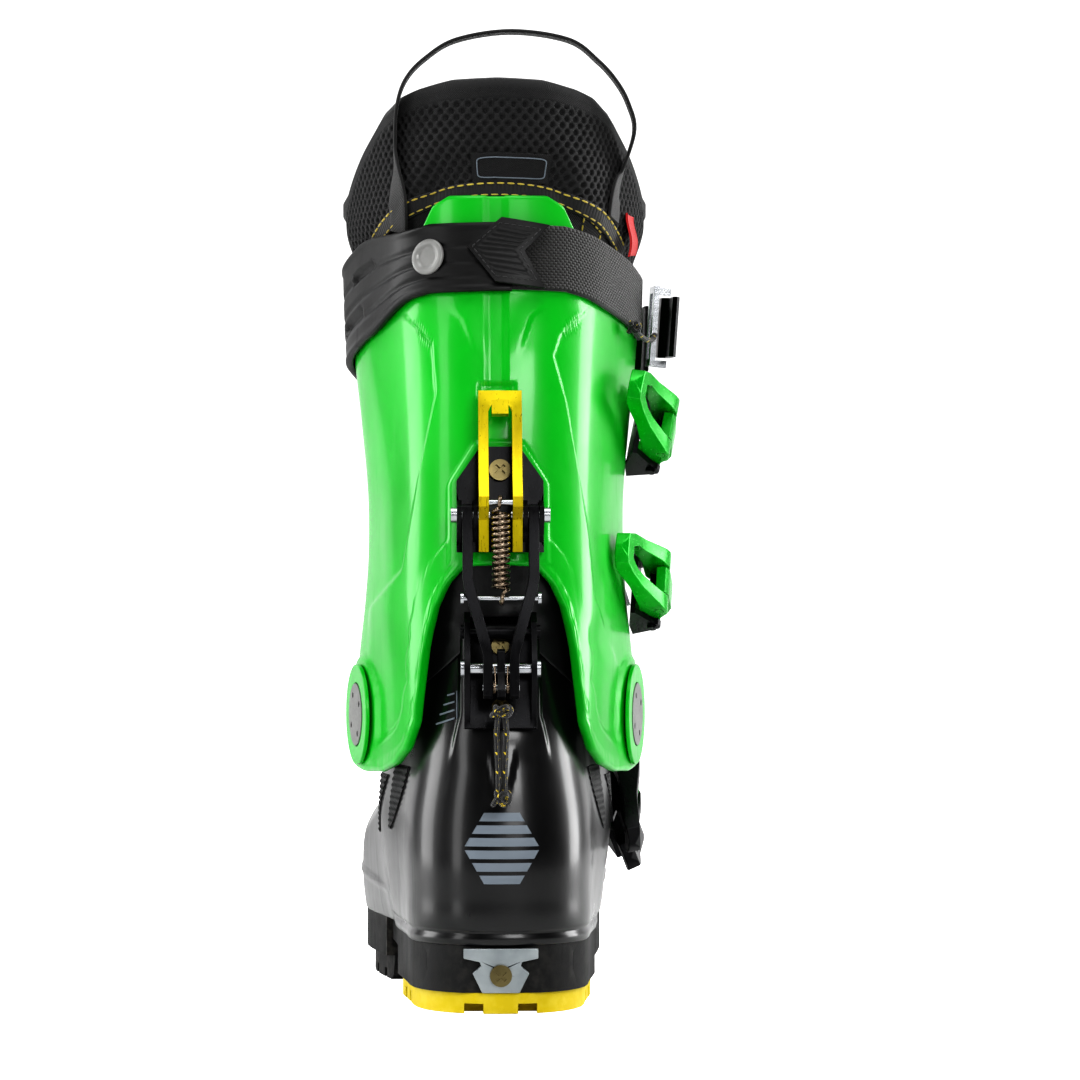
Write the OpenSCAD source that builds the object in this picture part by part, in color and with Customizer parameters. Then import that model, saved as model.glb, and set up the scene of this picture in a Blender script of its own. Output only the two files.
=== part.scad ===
// Alpine touring boot, right foot, mondo 26.5.
// Origin: on the floor under the middle of the heel tread. +Y to the toe, +X lateral, +Z up.

/* [Sole] */
// Sole length from the heel's rear face to the toe tip
sole_length = 303; // [301:1:306]
// Thickness of the coloured heel tread
tread_height = 8.4; // [7:0.2:9]
// Height of the sole's top, where the shell sits
sole_top = 28; // [28:0.5:29]

/* [Lower shell] */
// Wall of the lower shell
shell_wall = 4; // [3:0.5:4.5]
// Sideways lean of the last at the ball of the foot, to the medial side
last_shift = 3.5; // [0:0.5:5]

/* [Cuff] */
// Wall of the cuff
cuff_wall = 3; // [2:0.5:3]
// Gap between the overlapping front flaps of the cuff
flap_gap = 0.4; // [0.3:0.1:1]
// Radius of the pivot bolts
pivot_radius = 6; // [5:0.5:7]
// Running clearance of every pin in its bore, on the radius
pin_play = 0.05; // [0.03:0.01:0.1]

/* [Liner] */
// Thickness of the padded liner
liner_wall = 7; // [5:0.5:8]
// Highest point of the liner's back panel
liner_top = 377; // [370:1:378]

/* [Walk mechanism] */
// Height of the axis that the link and the mode lever share
link_axis_z = 200; // [198:1:202]
// Outer diameter of the tension spring
spring_d = 7.6; // [7:0.2:8]
// Wire of the tension spring
spring_wire = 1.5; // [1.2:0.1:1.6]

/* [Buckles] */
// Length of a buckle lever from its hinge to its tip
lever_length = 50; // [46:1:52]
// Radius of a buckle's hinge pin
hinge_pin_r = 2; // [1.8:0.1:2.2]

/* [Hidden] */
$fn = 48;
heel_y = -38;          // the heel's rear face; the tables below are measured forward from it
pivot_y = 50;          // ankle pivot, in the part's frame
pivot_z = 117;
green = "#0dbb3e";
yellow = "#d9c926";
black = "#141414";
steel = "silver";

// ---------- curves and surfaces ----------
// Lower shell: z, rear, front, half-widths at heel, ankle and ball, rear cap, front cap
SHELL = [[28, 1.5, 298, 36.5, 42, 52, 44, 74], [36, 0, 299, 37.5, 44, 53, 45, 76],
    [46, 0, 297, 37.5, 45.5, 53.5, 45, 80], [60, 0, 286, 38, 47.5, 53, 46, 98],
    [70, 1, 268, 38, 48.5, 52, 46, 122], [80, 2.5, 240, 37.5, 48.5, 50, 46, 140],
    [92, 4.5, 211, 36, 48, 49, 46, 125], [105, 7.5, 187, 34.5, 46.5, 48, 47, 105],
    [117, 11, 170, 34, 46, 47, 48, 90], [130, 15, 157, 33.5, 44.5, 46, 48, 78],
    [145, 19.5, 147, 33, 42.5, 45, 48, 70], [160, 24.5, 139, 32.5, 41, 44, 48, 64],
    [178, 31, 133, 31.5, 39.5, 43, 48, 60]];
SHELL_LEVELS = [0, 0.04, 0.08, 0.13, 0.19, 0.25, 0.31, 0.37, 0.44, 0.52, 0.62, 0.74, 0.87, 1];
// Cuff and liner: z, rear, front, half-widths near the rear and at the middle, rear cap, front cap,
// and the distance over which the width grows from the one to the other
CUFF = [[92, 4, 178, 41, 60, 50, 84, 88], [117, 5, 172, 42, 60.5, 50, 80, 88],
    [140, 8, 166, 42.5, 58.5, 50, 74, 80], [165, 12, 160, 43, 55.5, 50, 68, 72],
    [185, 16, 157, 43, 54, 50, 64, 66], [210, 21.5, 158, 43.5, 54.5, 52, 62, 66],
    [240, 28.5, 163, 45, 57.5, 54, 62, 66], [270, 35.5, 170, 47, 61, 57, 64, 66],
    [300, 43, 177, 49, 62.5, 58, 66, 66], [335, 51.5, 185, 50, 63.5, 60, 68, 66],
    [380, 61, 196, 50, 64, 62, 70, 66]];
// Edges by angle from the rear centre: angle, height
CUFF_LOW = [[0, 181], [14, 180.5], [22, 173], [28, 163], [33, 148], [36, 132], [39, 116], [46, 106],
    [56, 99.5], [70, 95.5], [85, 94.5], [100, 97], [112, 106], [122, 121], [132, 138], [142, 152],
    [155, 165], [170, 172], [240, 174]];
CUFF_TOP = [[0, 331], [20, 331], [28, 327], [36, 314], [50, 303], [90, 297], [140, 290], [225, 284],
    [240, 276]];
LINER_TOP = [[0, 0], [20, -1], [34, -3.5], [46, -6.5], [58, -12], [72, -24], [90, -42], [120, -48],
    [150, -50]];
STRAP_MIDDLE = [[0, 306], [27, 305.5], [40, 303], [60, 298], [75, 294], [90, 289], [140, 270],
    [180, 264], [250, 276]];

function smooth(t) = let (s = min(max(t, 0), 1)) s * s * (3 - 2 * s);
function row_before(rows, v) = max([for (i = [0 : len(rows) - 2]) if (i == 0 || rows[i][0] <= v) i]);
function row_at(rows, z) =
    let (v = min(max(z, rows[0][0]), rows[len(rows) - 1][0]),
         i = row_before(rows, v), n = len(rows) - 1,
         p = rows[max(i - 1, 0)], q = rows[i], r = rows[i + 1], s = rows[min(i + 2, n)],
         h = r[0] - q[0], t = (v - q[0]) / h,
         m1 = (r - p) / (r[0] - p[0]) * h, m2 = (s - q) / (s[0] - q[0]) * h)
    (2 * t * t * t - 3 * t * t + 1) * q + (t * t * t - 2 * t * t + t) * m1
        + (3 * t * t - 2 * t * t * t) * r + (t * t * t - t * t) * m2;
function edge(rows, a) =
    let (v = min(abs(a), rows[len(rows) - 1][0]), i = row_before(rows, v), q = rows[i], r = rows[i + 1])
    q[1] + (r[1] - q[1]) * (v - q[0]) / (r[0] - q[0]);
function round_end(v, power) = let (s = min(max(v, 0), 1)) pow(max(1 - pow(s, power), 0), 1 / power);
function side(a) = sin(a) < 0 ? -1 : 1;
function last_lean(y) = -last_shift * (y < 205 ? smooth((y - 105) / 100) : 1 - smooth((y - 205) / 85));
// Point on the lower shell at height z and angle a, moved inward by inset
function shell_point(z, a, inset = 0) =
    let (r = row_at(SHELL, z), y0 = r[1] + inset, y1 = r[2] + sole_length - 303 - inset,
         y = (y0 + y1) / 2 - (y1 - y0) / 2 * cos(a),
         w = (y < 105 ? r[3] + (r[4] - r[3]) * smooth((y - 35) / 70)
                      : r[4] + (r[5] - r[4]) * smooth((y - 105) / 100)) - inset,
         k = round_end((r[6] - (y - y0)) / r[6], 2.2) * round_end((y - (y1 - r[7])) / r[7], 2.1))
    [w * k * side(a) + last_lean(y), y + heel_y, z];
// Point on the cuff's outside at height z and angle a, moved inward by inset
function cuff_point(z, a, inset = 0) =
    let (r = row_at(CUFF, z), y0 = r[1] + inset, y1 = r[2] - inset,
         y = (y0 + y1) / 2 - (y1 - y0) / 2 * cos(a),
         w = r[3] + (r[4] - r[3]) * smooth((y - r[1] - 22) / r[7]) - inset,
         k = round_end((r[5] - (y - y0)) / r[5], 2.2) * round_end((y - (y1 - r[6])) / r[6], 2.1))
    [w * k * side(a), y + heel_y, z];
// The medial flap of the cuff rides over the lateral one
function flap_lift(a) = -(cuff_wall + flap_gap) * smooth((-a - 112) / 30);
// Heights at which a swing about the ankle pivot clears the shell's rim
function pivot_arc(y, r) = pivot_z + sqrt(max(r * r - (y - pivot_y) * (y - pivot_y), 0));
shell_rim_r = 78;
liner_edge_r = 82;
function shell_rim(a) = min(178, pivot_arc(shell_point(172, a)[1], shell_rim_r));

// Skin over loops of equal length, in order; each loop's first half faces its second half
module loft(loops, wrap = false) {
    n = len(loops[0]);
    m = len(loops);
    sides = [for (j = [0 : m - (wrap ? 1 : 2)], i = [0 : n - 1])
        let (a = j * n + i, b = j * n + (i + 1) % n,
             c = ((j + 1) % m) * n + (i + 1) % n, d = ((j + 1) % m) * n + i)
        each [[a, c, b], [a, d, c]]];
    first = [for (i = [0 : n / 2 - 2]) each [[i, i + 1, n - 1 - i], [i + 1, n - 2 - i, n - 1 - i]]];
    top = (m - 1) * n;
    last = [for (i = [0 : n / 2 - 2])
        each [[top + i + 1, top + i, top + n - 1 - i], [top + i + 1, top + n - 1 - i, top + n - 2 - i]]];
    polyhedron([for (l = loops) each l], wrap ? sides : concat(sides, first, last));
}
// How far the liner swells outward above the cuff's edge
function collar(z, a) = 5 * smooth((z - edge(CUFF_TOP, a) - 5) / 22);
// Wall between two insets of the cuff's surface, low to high at each angle. swell is the share of
// the collar that the inner and the outer face take
module cuff_wall_piece(angles, low, high, levels, inner, outer, swell = [0, 0])
    loft([for (j = [0 : len(angles) - 1])
        let (a = angles[j], zs = steps(low[j], high[j], levels))
        concat([for (z = zs) cuff_point(z, a, inner[j] - swell[0] * collar(z, a))],
               [for (i = [levels : -1 : 0]) cuff_point(zs[i], a, outer[j] - swell[1] * collar(zs[i], a))])]);
function steps(a0, a1, n) = [for (i = [0 : n]) a0 + (a1 - a0) * i / n];
function same(v, list) = [for (x = list) v];

// Round tube along a route, with a ring of sides at each point
function unit(v) = v / norm(v);
function heading(p, i) = unit(p[min(i + 1, len(p) - 1)] - p[max(i - 1, 0)]);
function ring(c, t, r, n) =
    let (u = unit(cross(t, abs(t[0]) < 0.9 ? [1, 0, 0] : [0, 1, 0])), v = cross(t, u))
    [for (i = [0 : n - 1]) c + r * (u * cos(360 * i / n) + v * sin(360 * i / n))];
module tube(route, r, n = 8)
    loft([for (i = [0 : len(route) - 1]) ring(route[i], heading(route, i), r, n)]);

module pin_x(r, x0, x1) translate([x0, 0, 0]) rotate([0, 90, 0]) cylinder(r = r, h = x1 - x0);
// Extrude a side view, drawn as [y, z], across x0 to x1
module slab_x(x0, x1) translate([x0, 0, 0]) rotate([90, 0, 90]) linear_extrude(x1 - x0) children();
// Extrude a rear view, drawn as [x, z], across y0 to y1
module slab_y(y0, y1) translate([0, y1, 0]) rotate([90, 0, 0]) linear_extrude(y1 - y0) children();

// ---------- sole ----------
function sole_outline(inset) = [for (a = [0 : 6 : 354])
    let (p = shell_point(sole_top, a, inset)) [p[0], p[1]]];
module sole_block(z0, z1, inset = 0) translate([0, 0, z0]) linear_extrude(z1 - z0)
    polygon(sole_outline(inset));
module across(y0, y1, z0, z1) translate([-70, y0, z0]) cube([140, y1 - y0, z1 - z0]);
arch_rear = 52;        // front end of the heel block
arch_front = 106;      // rear end of the forefoot sole
toe_y = sole_length + heel_y;
insert_y = toe_y - 21; // tech sockets
insert_z = 19;
socket_half = 29.5;
socket_r = 2.6;
socket_depth = 5;

module sole_shank() color(black) intersection() {
    sole_block(sole_top - 13, sole_top, 3);
    slab_x(-60, 60) polygon([[arch_rear, sole_top - 11], [arch_front - 20, sole_top - 13],
        [arch_front, sole_top - 10], [arch_front, sole_top], [arch_rear, sole_top]]);
}
module outsole_front() color(black) difference() {
    intersection() {
        union() {
            sole_block(0, 11, 4);
            sole_block(11, sole_top, 0.5);
        }
        slab_x(-60, 60) polygon([[arch_front, sole_top], [arch_front, 10], [arch_front + 3, 2.5],
            [arch_front + 8, 0], [182, 0], [205, 1.4], [228, 4.4], [248, 8.4], [toe_y + 2, 13.5],
            [toe_y + 2, sole_top]]);
    }
    for (i = [0 : 5]) across(124 + i * 21, 128.5 + i * 21, -1, 4 + max(0, i - 3) * 2.6);
    for (x = [-17, 14]) translate([x, 118, -1]) cube([4, 96, 4.6]);
    // pocket for the toe insert
    translate([-40, insert_y - 7, insert_z - 6]) cube([80, 14, 12]);
}
module toe_insert() color(steel) difference() {
    translate([-socket_half, insert_y - 7, insert_z - 6]) cube([2 * socket_half, 14, 12]);
    for (s = [-1, 1]) translate([s * (socket_half - socket_depth), insert_y, insert_z])
        rotate([0, s * 90, 0]) cylinder(r = socket_r, h = socket_depth + 1);
    for (x = [-12, 12]) translate([x, insert_y, insert_z - 7]) cylinder(r = 2.2, h = 14);
}
module outsole_heel() color(black) difference() {
    intersection() {
        sole_block(tread_height, sole_top, 0);
        across(heel_y - 1, arch_rear, tread_height, sole_top);
    }
    // pocket for the insert plate, and the side recesses
    translate([-15.6, heel_y - 1, tread_height - 1]) cube([31.2, 5.6, sole_top - tread_height + 2]);
    for (x = [-40, 29.5]) translate([x, heel_y + 6, 16.5]) cube([10.5, 12, 7]);
}
module heel_tread() color(yellow) difference() {
    intersection() {
        sole_block(0, tread_height, 1.5);
        across(heel_y - 1, arch_rear - 6, 0, tread_height);
    }
    for (x = [-14.6, 7]) translate([x, heel_y - 1, -1]) cube([7.6, 16, 5]);
    for (y = [14, 30]) across(y, y + 5, -1, 4.5);
    for (x = [-24, 20]) translate([x, -16, -1]) cube([4, 70, 5]);
}
insert_plate = 3.6;
insert_face_y = heel_y + 4.5 - insert_plate;
module heel_insert() color(steel) difference() {
    slab_y(insert_face_y, heel_y + 4.5) polygon([[-15, 26.4], [-15, 22.4], [-8.6, 21], [-8, 19.5],
        [-11.4, 16.5], [-7.5, 8.6], [7.5, 8.6], [11.4, 16.5], [8, 19.5], [8.6, 21], [15, 22.4],
        [15, 26.4]]);
    translate([0, heel_y, 15.6]) rotate([-90, 0, 0]) cylinder(r = 2.5, h = 6);
}
module heel_insert_screw() color("#8f8a70") difference() {
    translate([0, insert_face_y - 1.6, 15.6]) rotate([-90, 0, 0]) {
        cylinder(r = 4.4, h = 1.6);
        cylinder(r = 2.45, h = 5);
    }
    cross_drive(insert_face_y - 1.6, 15.6, 2.6);
}
// Cross recess that opens rearward at depth 0.9
module cross_drive(y, z, half) for (turn = [45, 135])
    translate([0, y - 0.1, z]) rotate([0, turn, 0]) translate([-half, 0, -0.6]) cube([2 * half, 1, 1.2]);

// ---------- lower shell and what it holds ----------
RING = [for (a = [0 : 9 : 351]) a];
floor_z = sole_top + 3;
// Ring of the shell's surface; rise samples it higher up, which thickens the sloping toe
function shell_ring(tops, z0, level, inset, rise) = [for (a = RING)
    let (z = z0 + (tops[a / 9] - z0) * level, p = shell_point(z + rise * (1 - level), a, inset))
    [p[0], p[1], z]];
module shell_cup(z0, tops, floor, outer, outer_rise, inner, inner_rise) {
    n = len(SHELL_LEVELS);
    loft(concat([for (s = SHELL_LEVELS) shell_ring(tops, z0, s, outer, outer_rise)],
        [for (i = [n - 1 : -1 : 0]) shell_ring(tops, floor, SHELL_LEVELS[i], inner, inner_rise)]));
}
module lower_shell() color(black) difference() {
    shell_cup(sole_top, [for (a = RING) shell_rim(a)], floor_z, 0, 0, shell_wall, 2);
    translate([0, pivot_y, pivot_z]) pin_x(pivot_radius + pin_play, -70, 70);
}
module liner_foot() color("#232323")
    shell_cup(boot_board_top + 0.3, [for (a = RING) shell_rim(a) - 6], boot_board_top + 5,
        shell_wall + 1.2, 4, shell_wall + liner_wall, 6);
boot_board_top = floor_z + 5;
module flat_bed(z0, z1, inset) translate([0, 0, z0]) linear_extrude(z1 - z0)
    polygon([for (a = RING) let (p = shell_point(z0, a, inset)) [p[0], p[1]]]);
module boot_board() color("#3a3a3a") flat_bed(floor_z + 0.1, boot_board_top, shell_wall + 3);
module footbed() color("#555")
    flat_bed(boot_board_top + 5.1, boot_board_top + 8, shell_wall + liner_wall + 4);

module shell_panel(angles, low, high, levels, inner, outer)
    loft([for (a = angles) let (zs = steps(low, high, levels))
        concat([for (z = zs) shell_point(z, a, inner)],
               [for (i = [levels : -1 : 0]) shell_point(zs[i], a, outer)])]);
module instep_flap() color(black) shell_panel(steps(128, 232, 14), 88, 146, 6, -0.9, -3.2);

// ---------- ankle pivot ----------
// Both sides of something drawn on the lateral side
module both_sides() for (s = [0, 1]) mirror([s, 0, 0]) children();
module pivot_bolts() color(steel) translate([0, pivot_y, pivot_z]) both_sides() {
    pin_x(pivot_radius, 40.6, pivot_face_x - 0.4);
    pin_x(pivot_radius + 3, 46.6, 49.6);
}
cap_tilt = 12;
pivot_face_x = cuff_point(pivot_z, 91, 0)[0] - 0.2;
// Places a disc stack on the cuff's face at the pivot, axis outward
module at_pivot_face(s) translate([s * pivot_face_x, pivot_y, pivot_z])
    rotate([0, 0, -s * cap_tilt]) rotate([0, s * 90, 0]) children();
module pivot_washers() color(green) for (s = [-1, 1]) difference() {
    at_pivot_face(s) translate([0, 0, 0.6]) cylinder(r = 21, h = 1.8);
    at_pivot_face(s) translate([0, 0, 1.2]) cylinder(r = 13.3, h = 3);
    translate([s * 50, pivot_y, pivot_z]) rotate([0, s * 90, 0]) cylinder(r = pivot_radius + 1.5, h = 11);
}
module pivot_caps() color("#8d8d8b") for (s = [-1, 1]) at_pivot_face(s) difference() {
    translate([0, 0, 1.3]) cylinder(r = 13, h = 1.4);
    for (t = [0 : 90 : 270]) rotate(t + 30) translate([9.2, 0, 1.8]) cylinder(r = 1.3, h = 3);
}

// ---------- cuff ----------
CUFF_ANGLES = concat(steps(-238, -112, 15), steps(-104, 104, 30), steps(112, 214, 11));
module cuff_shell() color(green) difference() {
    cuff_wall_piece(CUFF_ANGLES, [for (a = CUFF_ANGLES) edge(CUFF_LOW, a)],
        [for (a = CUFF_ANGLES) edge(CUFF_TOP, a)], 12,
        [for (a = CUFF_ANGLES) cuff_wall + flap_lift(a)], [for (a = CUFF_ANGLES) flap_lift(a)]);
    translate([0, pivot_y, pivot_z]) pin_x(pivot_radius + pin_play, -70, 70);
}
module rear_gaiter() color("#1c1c1c") for (s = [-1, 1]) {
    angles = s < 0 ? steps(-30, -22, 4) : steps(22, 30, 4);
    cuff_wall_piece(angles, [for (a = angles) 158 - (abs(a) - 22) * 0.8], same(169, angles), 4,
        same(cuff_wall + 1, angles), same(cuff_wall + 0.4, angles));
}

// ---------- liner ----------
LINER_ANGLES = steps(-142, 142, 30);
TONGUE_ANGLES = steps(146, 214, 8);
function liner_bottom(a, inset) =
    max(pivot_arc(cuff_point(190, a, inset)[1], liner_edge_r), abs(a) < 60 ? 186 - abs(a) * 0.12 : 0);
liner_gap = cuff_wall + 0.3;
module liner_cuff() color("#232323") cuff_wall_piece(LINER_ANGLES,
    [for (a = LINER_ANGLES) liner_bottom(a, liner_gap)],
    [for (a = LINER_ANGLES) liner_top + edge(LINER_TOP, a)], 24,
    same(liner_gap + liner_wall, LINER_ANGLES), same(liner_gap, LINER_ANGLES), [0.3, 1]);
module liner_tongue() color("#2a2a2a") cuff_wall_piece(TONGUE_ANGLES,
    [for (a = TONGUE_ANGLES) liner_bottom(a, liner_gap) + 2],
    [for (a = TONGUE_ANGLES) 352 - abs(a - 180) * 0.3], 8,
    same(liner_gap + liner_wall, TONGUE_ANGLES), same(liner_gap + 1, TONGUE_ANGLES));
BAND_ANGLES = steps(-66, 66, 22);
module liner_band() color("#2f2d29") cuff_wall_piece(BAND_ANGLES,
    [for (a = BAND_ANGLES) 332.5 - a * a * 0.0042], [for (a = BAND_ANGLES) 337 - a * a * 0.0042], 2,
    same(liner_gap - 0.7, BAND_ANGLES), same(liner_gap - 1.6, BAND_ANGLES), [1, 1]);
// Webbing loop: rises from both sides of the back panel
LOOP_ROUTE = [[-41.5, 25.5, 330], [-41.6, 27, 340], [-41.8, 30, 356], [-41.8, 33.5, 370],
    [-38, 37, 381.5], [-30, 40, 390.5], [-17, 42, 398.5], [6, 44, 402.3], [30, 44, 398.8],
    [42.3, 44.5, 390], [50, 45, 381.5], [55, 46, 372.5], [57.6, 47, 361], [54.6, 44, 347],
    [51.2, 41.3, 336], [50.4, 40, 326]];
loop_width = 11;
loop_thick = 1.4;
module pull_loop() color("#1b1b1b") loft([for (i = [0 : len(LOOP_ROUTE) - 1])
    let (p = LOOP_ROUTE[i], t = heading(LOOP_ROUTE, i), out = unit(cross([0, 1, 0], t)),
         v = out * loop_thick / 2, w = cross(t, out) * loop_width / 2)
    [p + v - w, p + v + w, p - v + w, p - v - w]]);
module side_tag() color("#c01818") translate(cuff_point(318, 72, -2.5)) rotate([0, 0, -8])
    translate([0, -5, -9]) cube([1.2, 10, 18]);

// ---------- power strap ----------
strap_half = 13.5;
// The rubber fans out over the medial side
function rubber_half(a) = strap_half + 6 * smooth((-a - 35) / 40) * (1 - smooth((-a - 120) / 30));
RUBBER_ANGLES = steps(-250, 4, 46);
WEB_ANGLES = steps(6, 93, 18);
module power_strap_rubber() color("#2b2b2b") cuff_wall_piece(RUBBER_ANGLES,
    [for (a = RUBBER_ANGLES) edge(STRAP_MIDDLE, a) - rubber_half(a)],
    [for (a = RUBBER_ANGLES) edge(STRAP_MIDDLE, a) + rubber_half(a)], 2,
    [for (a = RUBBER_ANGLES) flap_lift(a) - 0.5], [for (a = RUBBER_ANGLES) flap_lift(a) - 3.2]);
module power_strap_webbing() color("#33302c") cuff_wall_piece(WEB_ANGLES,
    [for (a = WEB_ANGLES) edge(STRAP_MIDDLE, a) - strap_half + 1],
    [for (a = WEB_ANGLES) edge(STRAP_MIDDLE, a) + strap_half - 1], 2,
    same(-0.5, WEB_ANGLES), same(-2.4, WEB_ANGLES));
module strap_snap() color(steel) translate(cuff_point(306, -27, -3.5)) rotate([0, 0, -31])
    rotate([76, 0, 0]) difference() {
        cylinder(r = 7.6, h = 1.6);
        translate([0, 0, 0.8]) cylinder(r = 4.4, h = 1);
    }
TAB_ANGLES = steps(-12, 14, 8);
module strap_pull_tab() color("#262626") cuff_wall_piece(TAB_ANGLES,
    same(293.5, TAB_ANGLES), same(319, TAB_ANGLES), 3, same(-3.6, TAB_ANGLES), same(-6, TAB_ANGLES));

// ---------- power strap's cam buckle ----------
cam_place = [67, 81, 281];
cam_tilt = 4;
cam_pin_r = 1.6;
module at_cam() translate(cam_place) rotate([0, cam_tilt, 6]) children();
// Local frame: x outward, y forward, z along the pin
module cam_frame() color("#9a9a9a") at_cam() {
    difference() {
        translate([-1.2, -7, -17]) cube([2.4, 14, 34]);
        translate([-2, -3.6, -14]) cube([4, 7.2, 28]);
    }
    for (s = [-1, 1]) difference() {
        translate([-1.2, 3.7, s * 15.5 - 1.5]) cube([9, 3.3, 3]);
        translate([5, 5.4, s * 15.5 - 3]) cylinder(r = 0.8, h = 6);
    }
}
module cam_lever() color("#4a4a4a") at_cam() difference() {
    translate([5, 0, -12.8]) linear_extrude(25.6) polygon([[-1.4, 8], [2.6, 7.4], [4.4, 4], [4.4, -10],
        [3, -12], [1.4, -10], [1.4, 1], [-1.2, 4.2]]);
    translate([5, 5.4, -14]) cylinder(r = 0.8 + pin_play, h = 28);
}
CAM_CORD = [[67.6, 72, 277], [66.8, 69, 275.4], [65.4, 65, 274.4], [63.6, 60.5, 274.4], [61.6, 56, 275.2],
    [59.8, 52, 276.6], [58.4, 49, 278], [57, 46.2, 279.4], [55.9, 43.6, 281]];
cord_r = 1.1;
module cam_cord() color("#2a2a1c") tube(CAM_CORD, cord_r);

// ---------- walk mechanism on the cuff ----------
link_y = -29;          // the shared axis of link and mode lever
bracket_half = 17.6;
axle_r = 1.6;
module at_link_axis() translate([0, link_y, link_axis_z]) children();
module cuff_bracket() color(black) difference() {
    union() {
        // plate that leans with the cuff's back
        intersection() {
            slab_x(-bracket_half, bracket_half) polygon([[-22.8, 185], [-20.6, 195], [-16.4, 213],
                [-13.4, 227.5], [-15.9, 228.1], [-19, 213.5], [-22.8, 196], [-25.2, 185]]);
            slab_y(-40, 0) polygon([[-bracket_half, 184], [-bracket_half, 214], [-8, 227.8], [8, 227.8],
                [bracket_half, 214], [bracket_half, 184]]);
        }
        both_sides() for (x = [9.1, 15.6]) slab_x(x, x + 1.9)
            polygon([[-20.4, 195], [-18.2, 205], [-24, 206], [-31.6, 203.4], [-33, 200], [-31.6, 196.6],
                [-24.2, 189]]);
    }
    at_link_axis() pin_x(axle_r + pin_play, -20, 20);
    translate([0, -12, 216.75]) rotate([78, 0, 0]) cylinder(r = 2.6, h = 12);
}
module cuff_bracket_screw() color("#8f8a70") translate([0, -18.3, 218.1]) rotate([78, 0, 0]) difference() {
    union() {
        cylinder(r = 4.4, h = 1.5);
        translate([0, 0, -1.9]) cylinder(r = 2.5, h = 2);
    }
    for (turn = [45, 135]) rotate(turn) translate([-2.6, -0.6, 0.3]) cube([5.2, 1.2, 2]);
}
// Two axles, one each side, with round heads outside the ears
module link_pivot_pins() color(steel) at_link_axis() both_sides() {
    pin_x(axle_r, 4.2, 20);
    pin_x(3.2, 17.6, 20);
}

// ---------- link: two bent arms that reach the lower bracket ----------
module arm_outline() polygon([[11.2, 205], [15.4, 205], [15.4, 175], [14.6, 170], [8.4, 148], [7.2, 144],
    [7.2, 126.5], [3.4, 126.5], [3.4, 145], [4.4, 150], [10.4, 171], [11.2, 175]]);
module arm_profile() polygon([[-25.2, 198], [-25.4, 202.4], [-28, 204.4], [-31.4, 203.8], [-33.2, 200],
    [-36.4, 185], [-40.2, 170], [-44, 150], [-44.6, 128], [-42.8, 126.5], [-38.6, 126.5], [-38.6, 152],
    [-34.4, 172], [-29.4, 186]]);
module link_arms() color(black) difference() {
    both_sides() intersection() {
        slab_y(-50, -20) arm_outline();
        slab_x(3, 16) arm_profile();
    }
    at_link_axis() pin_x(axle_r + pin_play, -20, 20);
    translate([0, cross_pin_y, cross_pin_z]) pin_x(1.1, -18, 18);
    translate([0, latch_y, latch_z]) pin_x(1.4, -18, 18);
}
cross_pin_y = -37.6;
cross_pin_z = 166.6;
module link_cross_pin() color(steel) {
    translate([0, cross_pin_y, cross_pin_z]) {
        pin_x(1, -15, 15);
        for (x = [-16.2, 14.9]) pin_x(2.4, x, x + 1.3);
    }
    translate([0, latch_y, latch_z]) pin_x(1.4, -7.4, 7.4);
}
latch_y = -41.6;
latch_z = 131;
module latch_hook() color(black) difference() {
    slab_x(-1.6, 1.6) polygon([[-48.6, 127.6], [-46, 126.2], [-40, 127], [-37.8, 131], [-37.6, 144.5],
        [-38.8, 146.5], [-40.2, 145.5], [-40.8, 137], [-45, 133.6], [-48.4, 130.4]]);
    translate([0, latch_y, latch_z]) pin_x(1.4 + pin_play, -8, 8);
}
module torsion_spring() color("#a08d76") both_sides() translate([0, latch_y, latch_z])
    for (i = [0 : 1]) translate([1.75 + i * 0.8, 0, 0])
        rotate([0, 90, 0]) difference() {
            cylinder(r = 2.5, h = 0.75);
            translate([0, 0, -1]) cylinder(r = 1.7, h = 3);
        }

// ---------- mode lever and tension spring ----------
spring_y = -36.2;
spring_top = 205;
module mode_lever() color(yellow) difference() {
    union() {
        for (x = [-8.8, 4.8]) slab_x(x, x + 4) polygon([[-33.6, 185.2], [-31, 185.2], [-26.4, 196],
            [-25.6, 203], [-20.5, 212], [-12.2, 249], [-13.2, 250.5], [-17.2, 250.5], [-20.6, 244],
            [-29.4, 216], [-38.4, 207.4], [-38.6, 203.4], [-33.4, 198]]);
        intersection() {
            slab_x(-8.8, 8.8) polygon([[-12.4, 249], [-13.2, 250.5], [-17.2, 250.5], [-20.6, 244],
                [-18.6, 238.5], [-14.9, 238.5]]);
            slab_y(-30, 0) polygon([[-8.8, 250.5], [8.8, 250.5], [8.8, 238.5], [5, 241.5], [3.6, 244.4],
                [-3.6, 244.4], [-5, 241.5], [-8.8, 238.5]]);
        }
        translate([-3.4, -21.4, 241]) rotate([-16, 0, 0]) cube([6.8, 4, 6]);
    }
    at_link_axis() pin_x(axle_r + pin_play, -20, 20);
    translate([0, spring_y, spring_top]) pin_x(1.2, -20, 20);
}
spring_low = cross_pin_z;
// Outer shape of the coil between its hooks
module tension_spring() color("#a08d76") translate([0, spring_y - 0.6, spring_low + 3.4]) difference() {
    cylinder(d = spring_d, h = spring_top - spring_low - 6);
    translate([0, 0, -1]) cylinder(d = spring_d - 2 * spring_wire, h = 40);
}

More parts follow.
